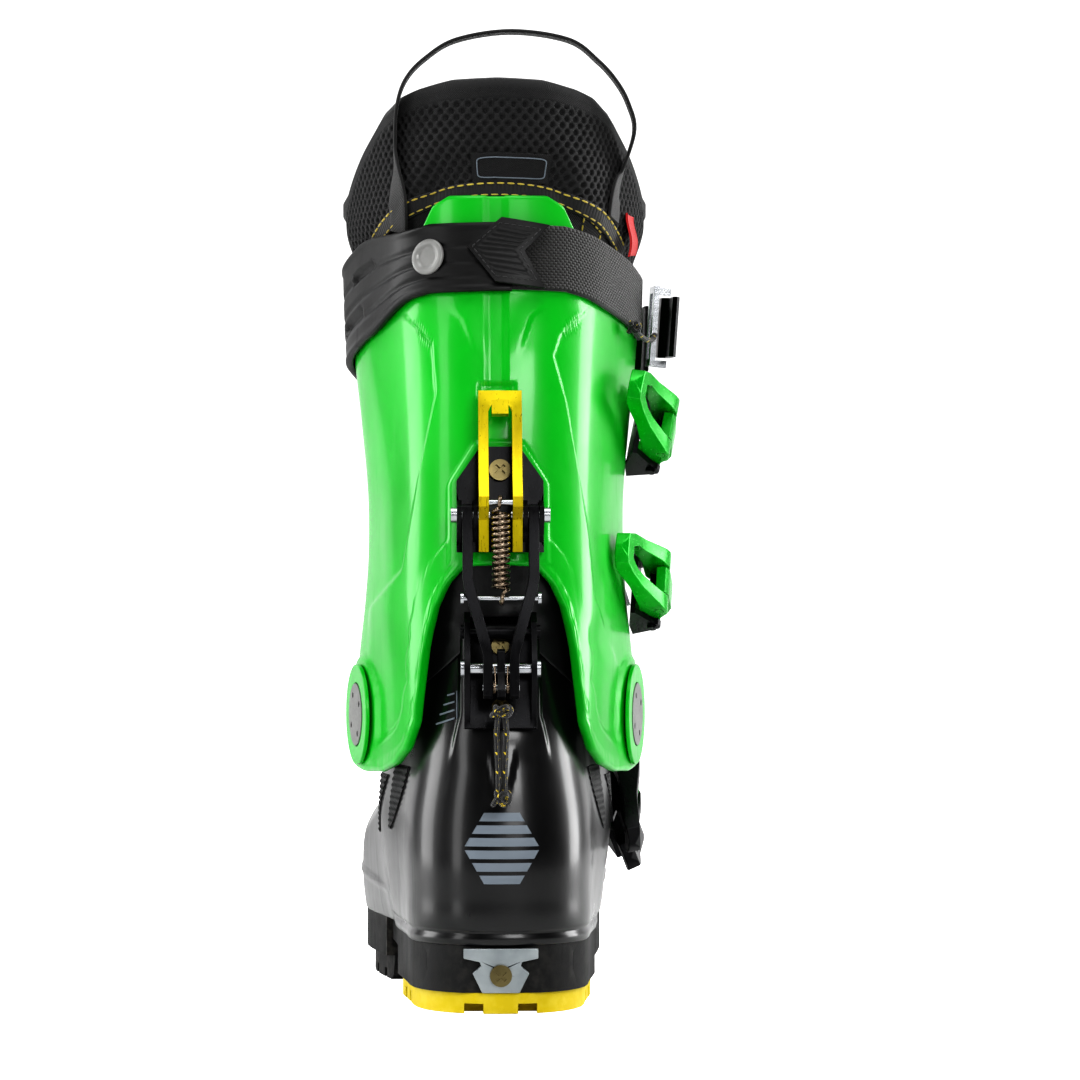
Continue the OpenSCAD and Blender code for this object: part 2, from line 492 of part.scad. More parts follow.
// ---------- lower bracket on the shell's heel ----------
lock_y = -31.6;
lock_z = 138.4;
lock_r = 2.4;
roller_y = -25.4;
roller_z = 153;
plate_half = 14.6;
module lower_bracket() color(black) difference() {
    union() {
        slab_x(-plate_half, plate_half) polygon([[-31.4, 114], [-26.4, 128], [-21.6, 143], [-16.6, 158],
            [-18.8, 159], [-24, 143.6], [-28.8, 128.6], [-33.6, 114.6]]);
        for (x = [-plate_half, plate_half - 2.4]) slab_x(x, x + 2.4) polygon([[-33.4, 115],
            [-18.6, 158.4], [-20.4, 160.6], [-24.6, 161], [-31, 157], [-35.4, 146], [-36.8, 140],
            [-36.6, 134], [-34.6, 122]]);
    }
    translate([0, lock_y, lock_z]) pin_x(lock_r, -20, 20);
    translate([0, roller_y, roller_z]) pin_x(1.5, -20, 20);
    translate([0, -20, 146]) rotate([72, 0, 0]) cylinder(r = 2.6, h = 14);
    translate([0, -26, 121]) rotate([72, 0, 0]) cylinder(r = 2.6, h = 14);
}
module lower_bracket_screw() color("#8f8a70") for (p = [[-23.2, 147], [-31.2, 122.7]])
    translate([0, p[0], p[1]]) rotate([72, 0, 0]) difference() {
        union() {
            cylinder(r = 3.6, h = 1.2);
            translate([0, 0, -2]) cylinder(r = 2.5, h = 2.1);
        }
        for (turn = [45, 135]) rotate(turn) translate([-2, -0.5, 0.2]) cube([4, 1, 2]);
    }
module lock_pin() color(steel) translate([0, lock_y, lock_z]) {
    pin_x(lock_r, -plate_half - 1.4, plate_half + 1.4);
    for (x = [-plate_half - 1.5, plate_half]) pin_x(3.6, x, x + 1.5);
}
module bracket_roller() color("#222") translate([0, roller_y, roller_z]) {
    pin_x(1.5, -plate_half - 1.4, plate_half + 1.4);
    pin_x(3, -8.6, 8.6);
    for (x = [-plate_half - 1.5, plate_half]) pin_x(2.8, x, x + 1.5);
}

// ---------- pull cord on the latch ----------
cord_y = -47.6;
knot_top_z = 122.4;
knot_end_z = 87;
knot_h = 5;
// One strand, as x and z; the other one mirrors it
CORD_DROP = [[1.4, 120.6], [1.7, 117], [2, 113], [1.8, 108], [1.6, 103], [1.4, 98], [1.3, 94],
    [1.2, 89.6]];
module pull_cord() color("#2a2a1c") for (s = [-1, 1])
    tube([for (p = CORD_DROP) [s * p[0], cord_y + s * 0.3, p[1]]], cord_r);
module cord_knots() color("#26261a") {
    translate([0, cord_y, knot_top_z]) cylinder(r = 3.8, h = knot_h, center = true);
    translate([0, cord_y, knot_end_z]) cylinder(r = 3.4, h = knot_h, center = true);
}

// ---------- buckles ----------
// Local frame of a buckle: x to the lever's tip, y along the hinge, z outward, origin on the hinge.
// Place: hinge point, swing of the face about Z, rise of the tip, lean of the hinge
UPPER = [[68.6, 72, 234], -10, 24, 8];
LOWER = [[67, 67, 168.5], -12, 23, 0];
INSTEP = [[52.6, 112, 91], 10, -38, -12];
TOE = [[53.4, 165, 71], 6, -24, -24];
module at_buckle(b) translate(b[0]) rotate([0, b[3], 0]) rotate([0, 0, b[1]])
    rotate([-90 - b[2], 0, 0]) rotate([0, 90, 0]) children();
module slab_side(y0, y1) translate([0, y1, 0]) rotate([90, 0, 0]) linear_extrude(y1 - y0) children();
fork_in = 6.6;
fork_out = 13.4;
bail_x = 10;
bail_z = 4.4;
module buckle_lever() difference() {
    intersection() {
        slab_side(-20, 20) polygon([[-4, -1], [-3, -3.2], [0, -4.2], [14, -3.6], [30, -5.4],
            [lever_length - 6, -9.4], [lever_length - 1, -9.2], [lever_length, -6.6],
            [lever_length - 2, -3.6], [30, 0.8], [16, 6.4], [11, 8], [7, 7.6], [2, 4], [-2.6, 3]]);
        translate([0, 0, -20]) linear_extrude(40) difference() {
            polygon([[-4.2, -fork_out], [14, -fork_out], [lever_length - 9, -9], [lever_length - 3, -6.6],
                [lever_length, 0], [lever_length - 3, 6.6], [lever_length - 9, 9], [14, fork_out],
                [-4.2, fork_out]]);
            polygon([[-10, -fork_in], [18, -fork_in], [lever_length - 13, -5], [lever_length - 8, -2.6],
                [lever_length - 8, 2.6], [lever_length - 13, 5], [18, fork_in], [-10, fork_in]]);
        }
    }
    rotate([90, 0, 0]) cylinder(r = hinge_pin_r + pin_play, h = 60, center = true);
    translate([bail_x, 0, bail_z]) rotate([90, 0, 0]) cylinder(r = 1.6 + pin_play, h = 60, center = true);
}
bail_half = 5.6;
module buckle_bail(reach, drop) {
    slab_side(-bail_half, bail_half) polygon([[bail_x + 2.6, bail_z + 2.2], [bail_x + 2.6, bail_z - 1.6],
        [bail_x, bail_z - 2], [-5, 3.2], [-9, 1], [-reach + 1, -drop - 1.2], [-reach - 2, -drop + 1],
        [-10.4, 5], [-6, 6.8], [bail_x - 1, bail_z + 3.4]]);
    translate([bail_x, 0, bail_z]) rotate([90, 0, 0]) cylinder(r = 1.6, h = 2 * fork_out, center = true);
}
module buckle_base(depth, base_rise) {
    difference() {
        union() {
            slab_side(-fork_out - 0.4, fork_out + 0.4) polygon([[-9, -depth], [1, -depth],
                [15, -depth + base_rise], [15, -depth + base_rise + 2], [1, -depth + 2], [-9, -depth + 2]]);
            for (y = [-fork_out - 2.8, fork_out + 0.3]) slab_side(y, y + 2.5)
                polygon([[-9, -depth], [1, -depth], [15, -depth + base_rise],
                    [15, -depth + base_rise + 2], [3.6, 1], [2.4, 3], [0, 3.8], [-2.4, 3], [-3.6, 1]]);
        }
        rotate([90, 0, 0]) cylinder(r = hinge_pin_r, h = 60, center = true);
        for (x = [-4, 9]) translate([x, 0, -depth - 1]) cylinder(r = 2, h = 4);
    }
    rotate([90, 0, 0]) cylinder(r = hinge_pin_r, h = 2 * fork_out + 8, center = true);
}
// Point and outward direction on a face, given the point and its neighbours further round and up
function facing(p, further, up) = unit(cross(further - p, up - p));
module on_face(p, n, rise) translate(p + 0.25 * n) rotate([0, 0, atan2(n[1], n[0])])
    rotate([0, -asin(n[2]), 0]) rotate([-90 - rise, 0, 0]) rotate([0, 90, 0]) children();
module on_cuff(z, a, rise, inset) {
    p = cuff_point(z, a, inset);
    on_face(p, facing(p, cuff_point(z, a + 2, inset), cuff_point(z + 2, a, inset)), rise) children();
}
module on_shell(z, a, rise, inset) {
    p = shell_point(z, a, inset);
    on_face(p, facing(p, shell_point(z, a + 2, inset), shell_point(z + 2, a, inset)), rise) children();
}
module ladder() {
    difference() {
        translate([-14, -6.5, 0]) cube([26, 13, 1.6]);
        translate([-10.5, 0, -1]) cylinder(r = 2, h = 4);
    }
    for (i = [0 : 2]) slab_side(-6.5, 6.5)
        polygon([[-4 + i * 5, 1.5], [0.6 + i * 5, 1.5], [0.4 + i * 5, 4]]);
}
module upper_buckle_base() color(black) at_buckle(UPPER) buckle_base(11, 4);
module lower_buckle_base() color(black) at_buckle(LOWER) buckle_base(9.5, 2.5);
module instep_buckle_base() color(black) at_buckle(INSTEP) buckle_base(8, 0);
module toe_buckle_base() color(black) at_buckle(TOE) buckle_base(7.4, 0);
module upper_lever() color(green) at_buckle(UPPER) buckle_lever();
module lower_lever() color(green) at_buckle(LOWER) buckle_lever();
module instep_lever() color(black) at_buckle(INSTEP) buckle_lever();
module toe_lever() color(black) at_buckle(TOE) buckle_lever();
module upper_bail() color(green) at_buckle(UPPER) buckle_bail(20, 9);
module lower_bail() color(green) at_buckle(LOWER) buckle_bail(20, 9);
module instep_bail() color(green) at_buckle(INSTEP) buckle_bail(18, 5);
module toe_bail() color(green) at_buckle(TOE) buckle_bail(16, 3);
module upper_ladder() color(steel) on_cuff(226, 133, 20, flap_lift(-200)) ladder();
module lower_ladder() color(steel) on_cuff(164, 131, 20, flap_lift(-200)) ladder();
module instep_ladder() color(steel) on_shell(104, 141, -34, -3.3) ladder();
module toe_ladder() color(steel) on_shell(80, 140, -24, -1.2) ladder();

lower_shell();
instep_flap();
sole_shank();
outsole_front();
outsole_heel();
heel_tread();
toe_insert();
heel_insert();
heel_insert_screw();
boot_board();
footbed();
liner_foot();
lower_bracket();
lower_bracket_screw();
lock_pin();
bracket_roller();
pivot_bolts();
instep_buckle_base();
instep_ladder();
toe_buckle_base();
toe_ladder();
cuff_shell();
pivot_washers();
pivot_caps();
rear_gaiter();
cuff_bracket();
cuff_bracket_screw();
link_pivot_pins();
liner_cuff();
liner_tongue();
liner_band();
pull_loop();
side_tag();
power_strap_rubber();
strap_snap();
power_strap_webbing();
strap_pull_tab();
cam_frame();
cam_lever();
cam_cord();
upper_buckle_base();
upper_ladder();
lower_buckle_base();
lower_ladder();
link_arms();
link_cross_pin();
latch_hook();
torsion_spring();
tension_spring();
mode_lever();
upper_lever();
upper_bail();
lower_lever();
lower_bail();
instep_lever();
instep_bail();
toe_lever();
toe_bail();
pull_cord();
cord_knots();
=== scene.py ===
"""Alpine touring boot: the looks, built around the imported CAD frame.
The surface formulas work in millimetres, as the CAD does; build() makes every mesh in metres."""
import math

import bpy
import numpy as np
from mathutils import Matrix, Vector, noise


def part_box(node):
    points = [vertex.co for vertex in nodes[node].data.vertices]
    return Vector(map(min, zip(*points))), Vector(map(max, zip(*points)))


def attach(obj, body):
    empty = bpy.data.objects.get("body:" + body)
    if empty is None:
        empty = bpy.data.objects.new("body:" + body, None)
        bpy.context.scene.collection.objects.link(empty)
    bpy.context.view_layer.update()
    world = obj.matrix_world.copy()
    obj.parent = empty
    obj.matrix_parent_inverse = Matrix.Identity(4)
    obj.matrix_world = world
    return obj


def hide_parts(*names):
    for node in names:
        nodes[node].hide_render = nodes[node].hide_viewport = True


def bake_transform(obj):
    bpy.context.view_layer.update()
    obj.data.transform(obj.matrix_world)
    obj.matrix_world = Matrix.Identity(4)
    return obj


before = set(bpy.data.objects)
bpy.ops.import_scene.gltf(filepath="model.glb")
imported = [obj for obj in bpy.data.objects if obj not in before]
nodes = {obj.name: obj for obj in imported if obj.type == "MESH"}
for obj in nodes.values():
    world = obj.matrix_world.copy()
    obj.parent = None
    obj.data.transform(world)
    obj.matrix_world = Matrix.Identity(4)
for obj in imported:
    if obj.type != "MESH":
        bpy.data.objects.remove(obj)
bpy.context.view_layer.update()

MM = 0.001

# ---------- camera ----------
CAMERA_BACK = 1840      # behind the heel's rear face
CAMERA_HEIGHT = 190
CAMERA_TURN = math.radians(1.7)
CAMERA_ASIDE = 15.6
FOCAL_WIDTHS = 4.259
HEEL_Y = -38

aside = Vector((math.cos(CAMERA_TURN), -math.sin(CAMERA_TURN), 0))
ahead = Vector((math.sin(CAMERA_TURN), math.cos(CAMERA_TURN), 0))
camera = bpy.data.objects.new("camera", bpy.data.cameras.new("camera"))
camera.data.sensor_width = 36
camera.data.lens = 36 * FOCAL_WIDTHS
camera.data.clip_end = 50
camera.location = (aside * CAMERA_ASIDE - ahead * CAMERA_BACK
                   + Vector((0, HEEL_Y, CAMERA_HEIGHT))) * MM
camera.rotation_euler = (math.pi / 2, 0, -CAMERA_TURN)
bpy.context.collection.objects.link(camera)
bpy.context.scene.camera = camera


# ---------- materials ----------
def srgb(r, g, b):
    """A screen colour, 0 to 255, as linear light."""
    def linear(v):
        v /= 255
        return v / 12.92 if v <= 0.04045 else ((v + 0.055) / 1.055) ** 2.4
    return (linear(r), linear(g), linear(b), 1)


class Finish:
    """Short way to write the nodes round one Principled shader."""

    def __init__(self, name, **constants):
        self.made = bpy.data.materials.new(name)
        self.made.use_nodes = True
        self.tree = self.made.node_tree
        self.shader = self.tree.nodes["Principled BSDF"]
        for socket, value in constants.items():
            self.shader.inputs[socket.replace("_", " ")].default_value = value

    def put(self, socket, value):
        if isinstance(value, bpy.types.NodeSocket):
            self.tree.links.new(value, socket)
        else:
            socket.default_value = value

    def node(self, kind, inputs, out=0, **settings):
        made = self.tree.nodes.new("ShaderNode" + kind)
        for key, value in settings.items():
            setattr(made, key, value)
        for key, value in inputs.items():
            self.put(made.inputs[key], value)
        return made.outputs[out]

    def set(self, **sockets):
        for socket, value in sockets.items():
            self.put(self.shader.inputs[socket.replace("_", " ")], value)
        return self

    def place(self, stretch=(1, 1, 1)):
        where = self.node("TexCoord", {}, out=3)
        return self.node("Mapping", {"Vector": where, "Scale": stretch})

    def noise(self, scale, detail=3.0, stretch=(1, 1, 1), roughness=0.5):
        return self.node("TexNoise", {"Vector": self.place(stretch), "Scale": scale, "Detail": detail,
                                      "Roughness": roughness})

    def math(self, operation, a, b=0.0, c=0.0):
        return self.node("Math", {0: a, 1: b, 2: c}, operation=operation)

    def spread(self, value, low, high, start=0.0, end=1.0, kind="LINEAR"):
        return self.node("MapRange", {"Value": value, "From Min": start, "From Max": end,
                                      "To Min": low, "To Max": high}, interpolation_type=kind)

    def mix(self, share, a, b, blend="MIX"):
        made = self.tree.nodes.new("ShaderNodeMix")
        made.data_type = "RGBA"
        made.blend_type = blend
        self.put(made.inputs[0], share)
        self.put(made.inputs[6], a)
        self.put(made.inputs[7], b)
        return made.outputs[2]

    def bump(self, height, depth, normal=None, strength=1.0):
        inputs = {"Height": height, "Distance": depth * MM, "Strength": strength}
        if normal is not None:
            inputs["Normal"] = normal
        return self.node("Bump", inputs)

    def pattern(self):
        """The two coordinates along a fabric, in millimetres, that build() stored on the mesh."""
        stored = self.node("Attribute", {}, out=1, attribute_name="pattern")
        split = self.tree.nodes.new("ShaderNodeSeparateXYZ")
        self.put(split.inputs[0], stored)
        return split.outputs[0], split.outputs[1]

    def edges(self, low=0.52, high=0.62):
        """1 on convex edges, where the surface is rubbed."""
        return self.spread(self.node("NewGeometry", {}, out=7), 0, 1, low, high)


def moulded(name, colour, shade, rough, wear=None, grain=0.03, coat=0.0, coat_rough=0.1):
    """Injection-moulded plastic: slow tone drift, fine grain, hairline scuffs and rubbed edges."""
    f = Finish(name, Coat_Weight=coat, Coat_Roughness=coat_rough, Specular_IOR_Level=0.35)
    tone = f.mix(f.spread(f.noise(11, 4), 0, 1, 0.35, 0.68), colour, shade)
    if wear:
        rubbed = f.math("MULTIPLY", f.edges(), f.spread(f.noise(240, 4), 0, 1, 0.42, 0.66))
        tone = f.mix(rubbed, tone, wear)
    scuffs = f.spread(f.noise(130, 5, (1, 1, 0.12), 0.7), 0, 1, 0.56, 0.72)
    polish = f.spread(f.noise(26, 5), rough * 0.82, rough * 1.25, 0.3, 0.7)
    f.set(Base_Color=tone, Roughness=f.math("ADD", polish, f.math("MULTIPLY", scuffs, 0.09)))
    relief = f.math("ADD", f.noise(1500, 2), f.math("MULTIPLY", scuffs, 0.5))
    f.set(Normal=f.bump(relief, grain))
    return f.made


def metal(name, colour, shade, rough, brushed=(1, 1, 1), metallic=1.0, wear=None):
    """Plated or anodised metal: brushed grain along one axis, tone drift and bright worn spots at random."""
    f = Finish(name, Metallic=metallic)
    grain = f.noise(900, 4, brushed, 0.65)
    tone = f.mix(f.spread(f.noise(55, 4), 0, 1, 0.3, 0.7), colour, shade)
    if wear:
        tone = f.mix(f.spread(f.noise(420, 5, (1, 1, 1), 0.75), 0, 0.5, 0.66, 0.8), tone, wear)
    f.set(Base_Color=tone, Roughness=f.spread(grain, rough * 0.85, rough * 1.2, 0.3, 0.7),
          Normal=f.bump(grain, 0.006))
    return f.made


def webbing(name, colour, gap_shade_and_fibre, pitch, row, depth=0.35, offset=0.5):
    """Woven webbing: rows of rounded yarn floats, each row shifted by offset of a pitch, with painted shade
    between the floats.
    """
    f = Finish(name, Sheen_Weight=0.25, Sheen_Roughness=0.5, Roughness=0.72)
    u, v = f.pattern()
    rows = f.math("DIVIDE", v, row)
    shift = f.math("MULTIPLY", f.math("FLOOR", rows), offset)
    across = f.math("ABSOLUTE", f.math("SINE", f.math("MULTIPLY",
                    f.math("ADD", f.math("DIVIDE", u, pitch), shift), math.pi)))
    along = f.math("ABSOLUTE", f.math("SINE", f.math("MULTIPLY", rows, math.pi)))
    yarn = f.math("POWER", f.math("MULTIPLY", across, along), 0.6)
    fibre = f.noise(2600, 3, (1, 1, 1), 0.6)
    # Painted shade: the colour darkens to the dark tone in the gaps between yarn floats; the fibre noise next
    # darkens it at random, as the yarn's own tone.
    tone = f.mix(f.spread(yarn, 0, 1, 0.25, 0.8), gap_shade_and_fibre, colour)
    tone = f.mix(f.spread(fibre, 0, 0.35, 0.4, 0.75), tone, gap_shade_and_fibre)
    f.set(Base_Color=tone, Normal=f.bump(yarn, depth, f.bump(fibre, 0.06)))
    return f.made


def cloth(name, colour, shade, thread=0.5, depth=0.12, sheen=0.3, rough=0.85):
    """Plain knitted or brushed fabric."""
    f = Finish(name, Sheen_Weight=sheen, Sheen_Roughness=0.6, Roughness=rough)
    u, v = f.pattern()
    knit = f.math("MULTIPLY", f.math("SINE", f.math("MULTIPLY", u, math.pi / thread)),
                  f.math("SINE", f.math("MULTIPLY", v, math.pi / thread)))
    fuzz = f.noise(1900, 4, (1, 1, 1), 0.65)
    tone = f.mix(f.spread(f.noise(35, 4), 0, 1, 0.3, 0.7), colour, shade)
    f.set(Base_Color=f.mix(f.spread(fuzz, 0, 0.5, 0.35, 0.7), tone, shade),
          Normal=f.bump(knit, depth, f.bump(fuzz, 0.1)))
    return f.made


def braid(name, colour, fleck):
    """Braided cord: two crossing sets of strands with a tracer of bright yarn in one of them, and painted
    shade in the grooves between strands.
    """
    f = Finish(name, Sheen_Weight=0.3, Roughness=0.7)
    u, v = f.pattern()      # turns round the cord, millimetres along it
    left = f.math("ADD", f.math("MULTIPLY", u, 8), f.math("MULTIPLY", v, 1.1))
    right = f.math("SUBTRACT", f.math("MULTIPLY", u, 8), f.math("MULTIPLY", v, 1.1))
    strand = f.math("MULTIPLY", f.math("SINE", f.math("MULTIPLY", left, math.pi)),
                    f.math("SINE", f.math("MULTIPLY", right, math.pi)))
    turn = f.math("FRACT", f.math("ADD", u, f.math("MULTIPLY", v, 0.13)))
    tracer = f.math("MULTIPLY", f.math("LESS_THAN", turn, 0.13),
                    f.math("LESS_THAN", f.math("FRACT", f.math("MULTIPLY", v, 0.4)), 0.45))
    # Painted shade: the colour darkens to near black in the grooves between the strands.
    tone = f.mix(f.spread(strand, 0.3, 1, -1, 1), (0.002, 0.002, 0.002, 1), colour)
    f.set(Base_Color=f.mix(tracer, tone, fleck), Normal=f.bump(strand, 0.18, f.bump(f.noise(3000, 2), 0.04)))
    return f.made


def spacer(name):
    """Honeycomb spacer mesh: the cells are in the geometry, this adds the knit of their walls and painted
    shade in the cell hollows.
    """
    f = Finish(name, Sheen_Weight=0.08, Sheen_Roughness=0.55, Roughness=0.75)
    u, v = f.pattern()
    # Painted shade: the colour goes from the walls' grey to near black in the cell hollows, by the per-vertex
    # share stored with the mesh.
    depth = f.node("Attribute", {}, out=2, attribute_name="cell_shade")
    loops = f.math("MULTIPLY", f.math("SINE", f.math("MULTIPLY", u, 5.2)),
                   f.math("SINE", f.math("MULTIPLY", v, 7.3)))
    fuzz = f.noise(2300, 3, (1, 1, 1), 0.6)
    tone = f.mix(f.spread(depth, 0, 1, 0.05, 0.75), srgb(19, 19, 20), srgb(3, 3, 3))
    f.set(Base_Color=f.mix(f.spread(fuzz, 0, 0.4, 0.4, 0.75), tone, srgb(9, 9, 9)),
          Normal=f.bump(loops, 0.12, f.bump(fuzz, 0.08)))
    return f.made


GREEN = moulded("green_plastic", srgb(0, 186, 36), srgb(0, 168, 28), 0.34, srgb(40, 205, 70), 0.006,
                coat=0.35, coat_rough=0.12)
BLACK = moulded("black_plastic", srgb(10, 10, 11), srgb(6, 6, 7), 0.32, srgb(40, 40, 41), 0.006,
                coat=0.45, coat_rough=0.16)
BLACK_MATT = moulded("black_plastic_matt", srgb(26, 26, 27), srgb(16, 16, 17), 0.52, srgb(70, 70, 70), 0.05)
RUBBER = moulded("sole_rubber", srgb(24, 24, 25), srgb(17, 17, 17), 0.62, srgb(66, 64, 60), 0.09)
TREAD = moulded("tread_rubber", srgb(226, 204, 6), srgb(206, 184, 2), 0.55, srgb(238, 222, 90), 0.08)
STRAP = moulded("strap_rubber", srgb(17, 17, 17), srgb(11, 11, 11), 0.46, srgb(36, 36, 35), 0.02)
GAITER = moulded("gaiter_rubber", srgb(25, 25, 26), srgb(14, 14, 15), 0.42, srgb(60, 60, 60), 0.06)
ALLOY_BLACK = metal("black_anodised", srgb(30, 30, 32), srgb(17, 17, 19), 0.3, (1, 1, 0.2), 0.75,
                    srgb(150, 150, 152))
ALLOY_YELLOW = metal("yellow_anodised", srgb(206, 188, 14), srgb(176, 158, 6), 0.3, (1, 1, 0.15), 0.7,
                     srgb(240, 230, 120))
LEVER_GREEN = metal("green_anodised", srgb(2, 190, 42), srgb(0, 160, 30), 0.24, (1, 0.3, 1), 0.25)
STEEL = metal("bright_steel", srgb(200, 202, 204), srgb(165, 168, 172), 0.22, (0.15, 1, 1))
TECH_STEEL = metal("insert_steel", srgb(176, 182, 184), srgb(135, 142, 145), 0.38, (0.2, 1, 1), 1.0,
                   srgb(225, 228, 230))
ZINC = metal("zinc_screw", srgb(128, 118, 84), srgb(92, 84, 58), 0.34, (1, 1, 1))
WIRE = metal("spring_wire", srgb(165, 150, 132), srgb(112, 98, 84), 0.27, (1, 1, 1))
SNAP = metal("snap_nickel", srgb(150, 150, 148), srgb(112, 112, 110), 0.36, (1, 1, 1), 0.2)
CAP = metal("pivot_cap_grey", srgb(140, 140, 138), srgb(118, 118, 117), 0.42, (1, 1, 1), 0.3,
            srgb(190, 190, 188))
BOARD = moulded("board_plastic", srgb(70, 70, 70), srgb(54, 54, 54), 0.6, None, 0.05)
WEB = webbing("strap_webbing", srgb(33, 32, 29), srgb(3, 3, 3), 2.1, 1.15, 0.5)
BAND = webbing("ribbed_band", srgb(24, 24, 23), srgb(4, 4, 4), 1.7, 40, 0.3, 0)
LOOP = webbing("loop_webbing", srgb(20, 20, 19), srgb(4, 4, 4), 1.2, 0.8, 0.2)
LINER = cloth("liner_fabric", srgb(14, 14, 15), srgb(8, 8, 9), sheen=0.1)
FLEECE = cloth("footbed_fleece", srgb(78, 78, 80), srgb(52, 52, 54), 0.7, 0.2, 0.5)
MESH = spacer("spacer_mesh")
TAG = cloth("tag_red", srgb(206, 8, 14), srgb(170, 4, 8), 0.35, 0.05, 0.1, 0.6)
CORD = braid("cord_braid", srgb(22, 22, 21), srgb(232, 204, 40))
THREAD = cloth("yellow_thread", srgb(226, 206, 84), srgb(182, 160, 50), 0.25, 0.06, 0.2, 0.6)
THREAD_BLACK = cloth("black_thread", srgb(40, 40, 40), srgb(24, 24, 24), 0.25, 0.06, 0.2, 0.6)
PRINT = moulded("grey_print", srgb(122, 131, 140), srgb(98, 106, 114), 0.5, None, 0.01)


# ---------- surfaces, as in the CAD ----------
SHELL = [[28, 1.5, 298, 36.5, 42, 52, 44, 74], [36, 0, 299, 37.5, 44, 53, 45, 76],
         [46, 0, 297, 37.5, 45.5, 53.5, 45, 80], [60, 0, 286, 38, 47.5, 53, 46, 98],
         [70, 1, 268, 38, 48.5, 52, 46, 122], [80, 2.5, 240, 37.5, 48.5, 50, 46, 140],
         [92, 4.5, 211, 36, 48, 49, 46, 125], [105, 7.5, 187, 34.5, 46.5, 48, 47, 105],
         [117, 11, 170, 34, 46, 47, 48, 90], [130, 15, 157, 33.5, 44.5, 46, 48, 78],
         [145, 19.5, 147, 33, 42.5, 45, 48, 70], [160, 24.5, 139, 32.5, 41, 44, 48, 64],
         [178, 31, 133, 31.5, 39.5, 43, 48, 60]]
CUFF = [[92, 4, 178, 41, 60, 50, 84, 88], [117, 5, 172, 42, 60.5, 50, 80, 88],
        [140, 8, 166, 42.5, 58.5, 50, 74, 80], [165, 12, 160, 43, 55.5, 50, 68, 72],
        [185, 16, 157, 43, 54, 50, 64, 66], [210, 21.5, 158, 43.5, 54.5, 52, 62, 66],
        [240, 28.5, 163, 45, 57.5, 54, 62, 66], [270, 35.5, 170, 47, 61, 57, 64, 66],
        [300, 43, 177, 49, 62.5, 58, 66, 66], [335, 51.5, 185, 50, 63.5, 60, 68, 66],
        [380, 61, 196, 50, 64, 62, 70, 66]]
CUFF_LOW = [[0, 181], [14, 180.5], [22, 173], [28, 163], [33, 148], [36, 132], [39, 116], [46, 106],
            [56, 99.5], [70, 95.5], [85, 94.5], [100, 97], [112, 106], [122, 121], [132, 138], [142, 152],
            [155, 165], [170, 172], [240, 174]]
CUFF_TOP = [[0, 331], [20, 331], [28, 327], [36, 314], [50, 303], [90, 297], [140, 290], [225, 284],
            [240, 276]]
LINER_TOP = [[0, 0], [20, -1], [34, -3.5], [46, -6.5], [58, -12], [72, -24], [90, -42], [120, -48],
             [150, -50]]
STRAP_MIDDLE = [[0, 306], [27, 305.5], [40, 303], [60, 298], [75, 294], [90, 289], [140, 270],
                [180, 264], [250, 276]]
CUFF_WALL = 3
FLAP_GAP = 0.4
SHELL_WALL = 4
LAST_SHIFT = 3.5
LINER_GAP = CUFF_WALL + 0.3
LINER_WALL = 7
LINER_HIGH = 377
PIVOT = (50, 117)
STRAP_HALF = 13.5


def smooth(t):
    s = np.clip(t, 0, 1)
    return s * s * (3 - 2 * s)


def ramp(low, high, v):
    return smooth((v - low) / (high - low))


def row_at(rows, z):
    """Catmull-Rom curve through the rows, at height z."""
    rows = np.asarray(rows, float)
    heights = rows[:, 0]
    z = np.clip(z, heights[0], heights[-1])
    i = np.clip(np.searchsorted(heights, z, side="right") - 1, 0, len(rows) - 2)
    before, after = np.maximum(i - 1, 0), np.minimum(i + 2, len(rows) - 1)
    step = (heights[i + 1] - heights[i])[..., None]
    t = (z - heights[i])[..., None] / step
    slope_in = (rows[i + 1] - rows[before]) / (heights[i + 1] - heights[before])[..., None] * step
    slope_out = (rows[after] - rows[i]) / (heights[after] - heights[i])[..., None] * step
    return ((2 * t**3 - 3 * t**2 + 1) * rows[i] + (t**3 - 2 * t**2 + t) * slope_in
            + (3 * t**2 - 2 * t**3) * rows[i + 1] + (t**3 - t**2) * slope_out)


def edge(rows, a):
    return np.interp(np.abs(a), [r[0] for r in rows], [r[1] for r in rows])


def round_end(v, power):
    return np.maximum(1 - np.clip(v, 0, 1) ** power, 0) ** (1 / power)


def outline(a, y0, y1, w, rear, front):
    y = (y0 + y1) / 2 - (y1 - y0) / 2 * np.cos(a)
    k = round_end((rear - (y - y0)) / rear, 2.2) * round_end((y - (y1 - front)) / front, 2.1)
    return y, w(y) * k * np.where(np.sin(a) < 0, -1, 1)


def shell_point(z, a, inset=0):
    z, a, inset = np.broadcast_arrays(*(np.asarray(v, float) for v in (z, a, inset)))
    r = np.moveaxis(row_at(SHELL, z), -1, 0)

    def width(y):
        rear = r[3] + (r[4] - r[3]) * smooth((y - 35) / 70)
        front = r[4] + (r[5] - r[4]) * smooth((y - 105) / 100)
        return np.where(y < 105, rear, front) - inset
    y, x = outline(np.radians(a), r[1] + inset, r[2] - inset, width, r[6], r[7])
    lean = -LAST_SHIFT * np.where(y < 205, smooth((y - 105) / 100), 1 - smooth((y - 205) / 85))
    return np.stack([x + lean, y + HEEL_Y, z], -1)


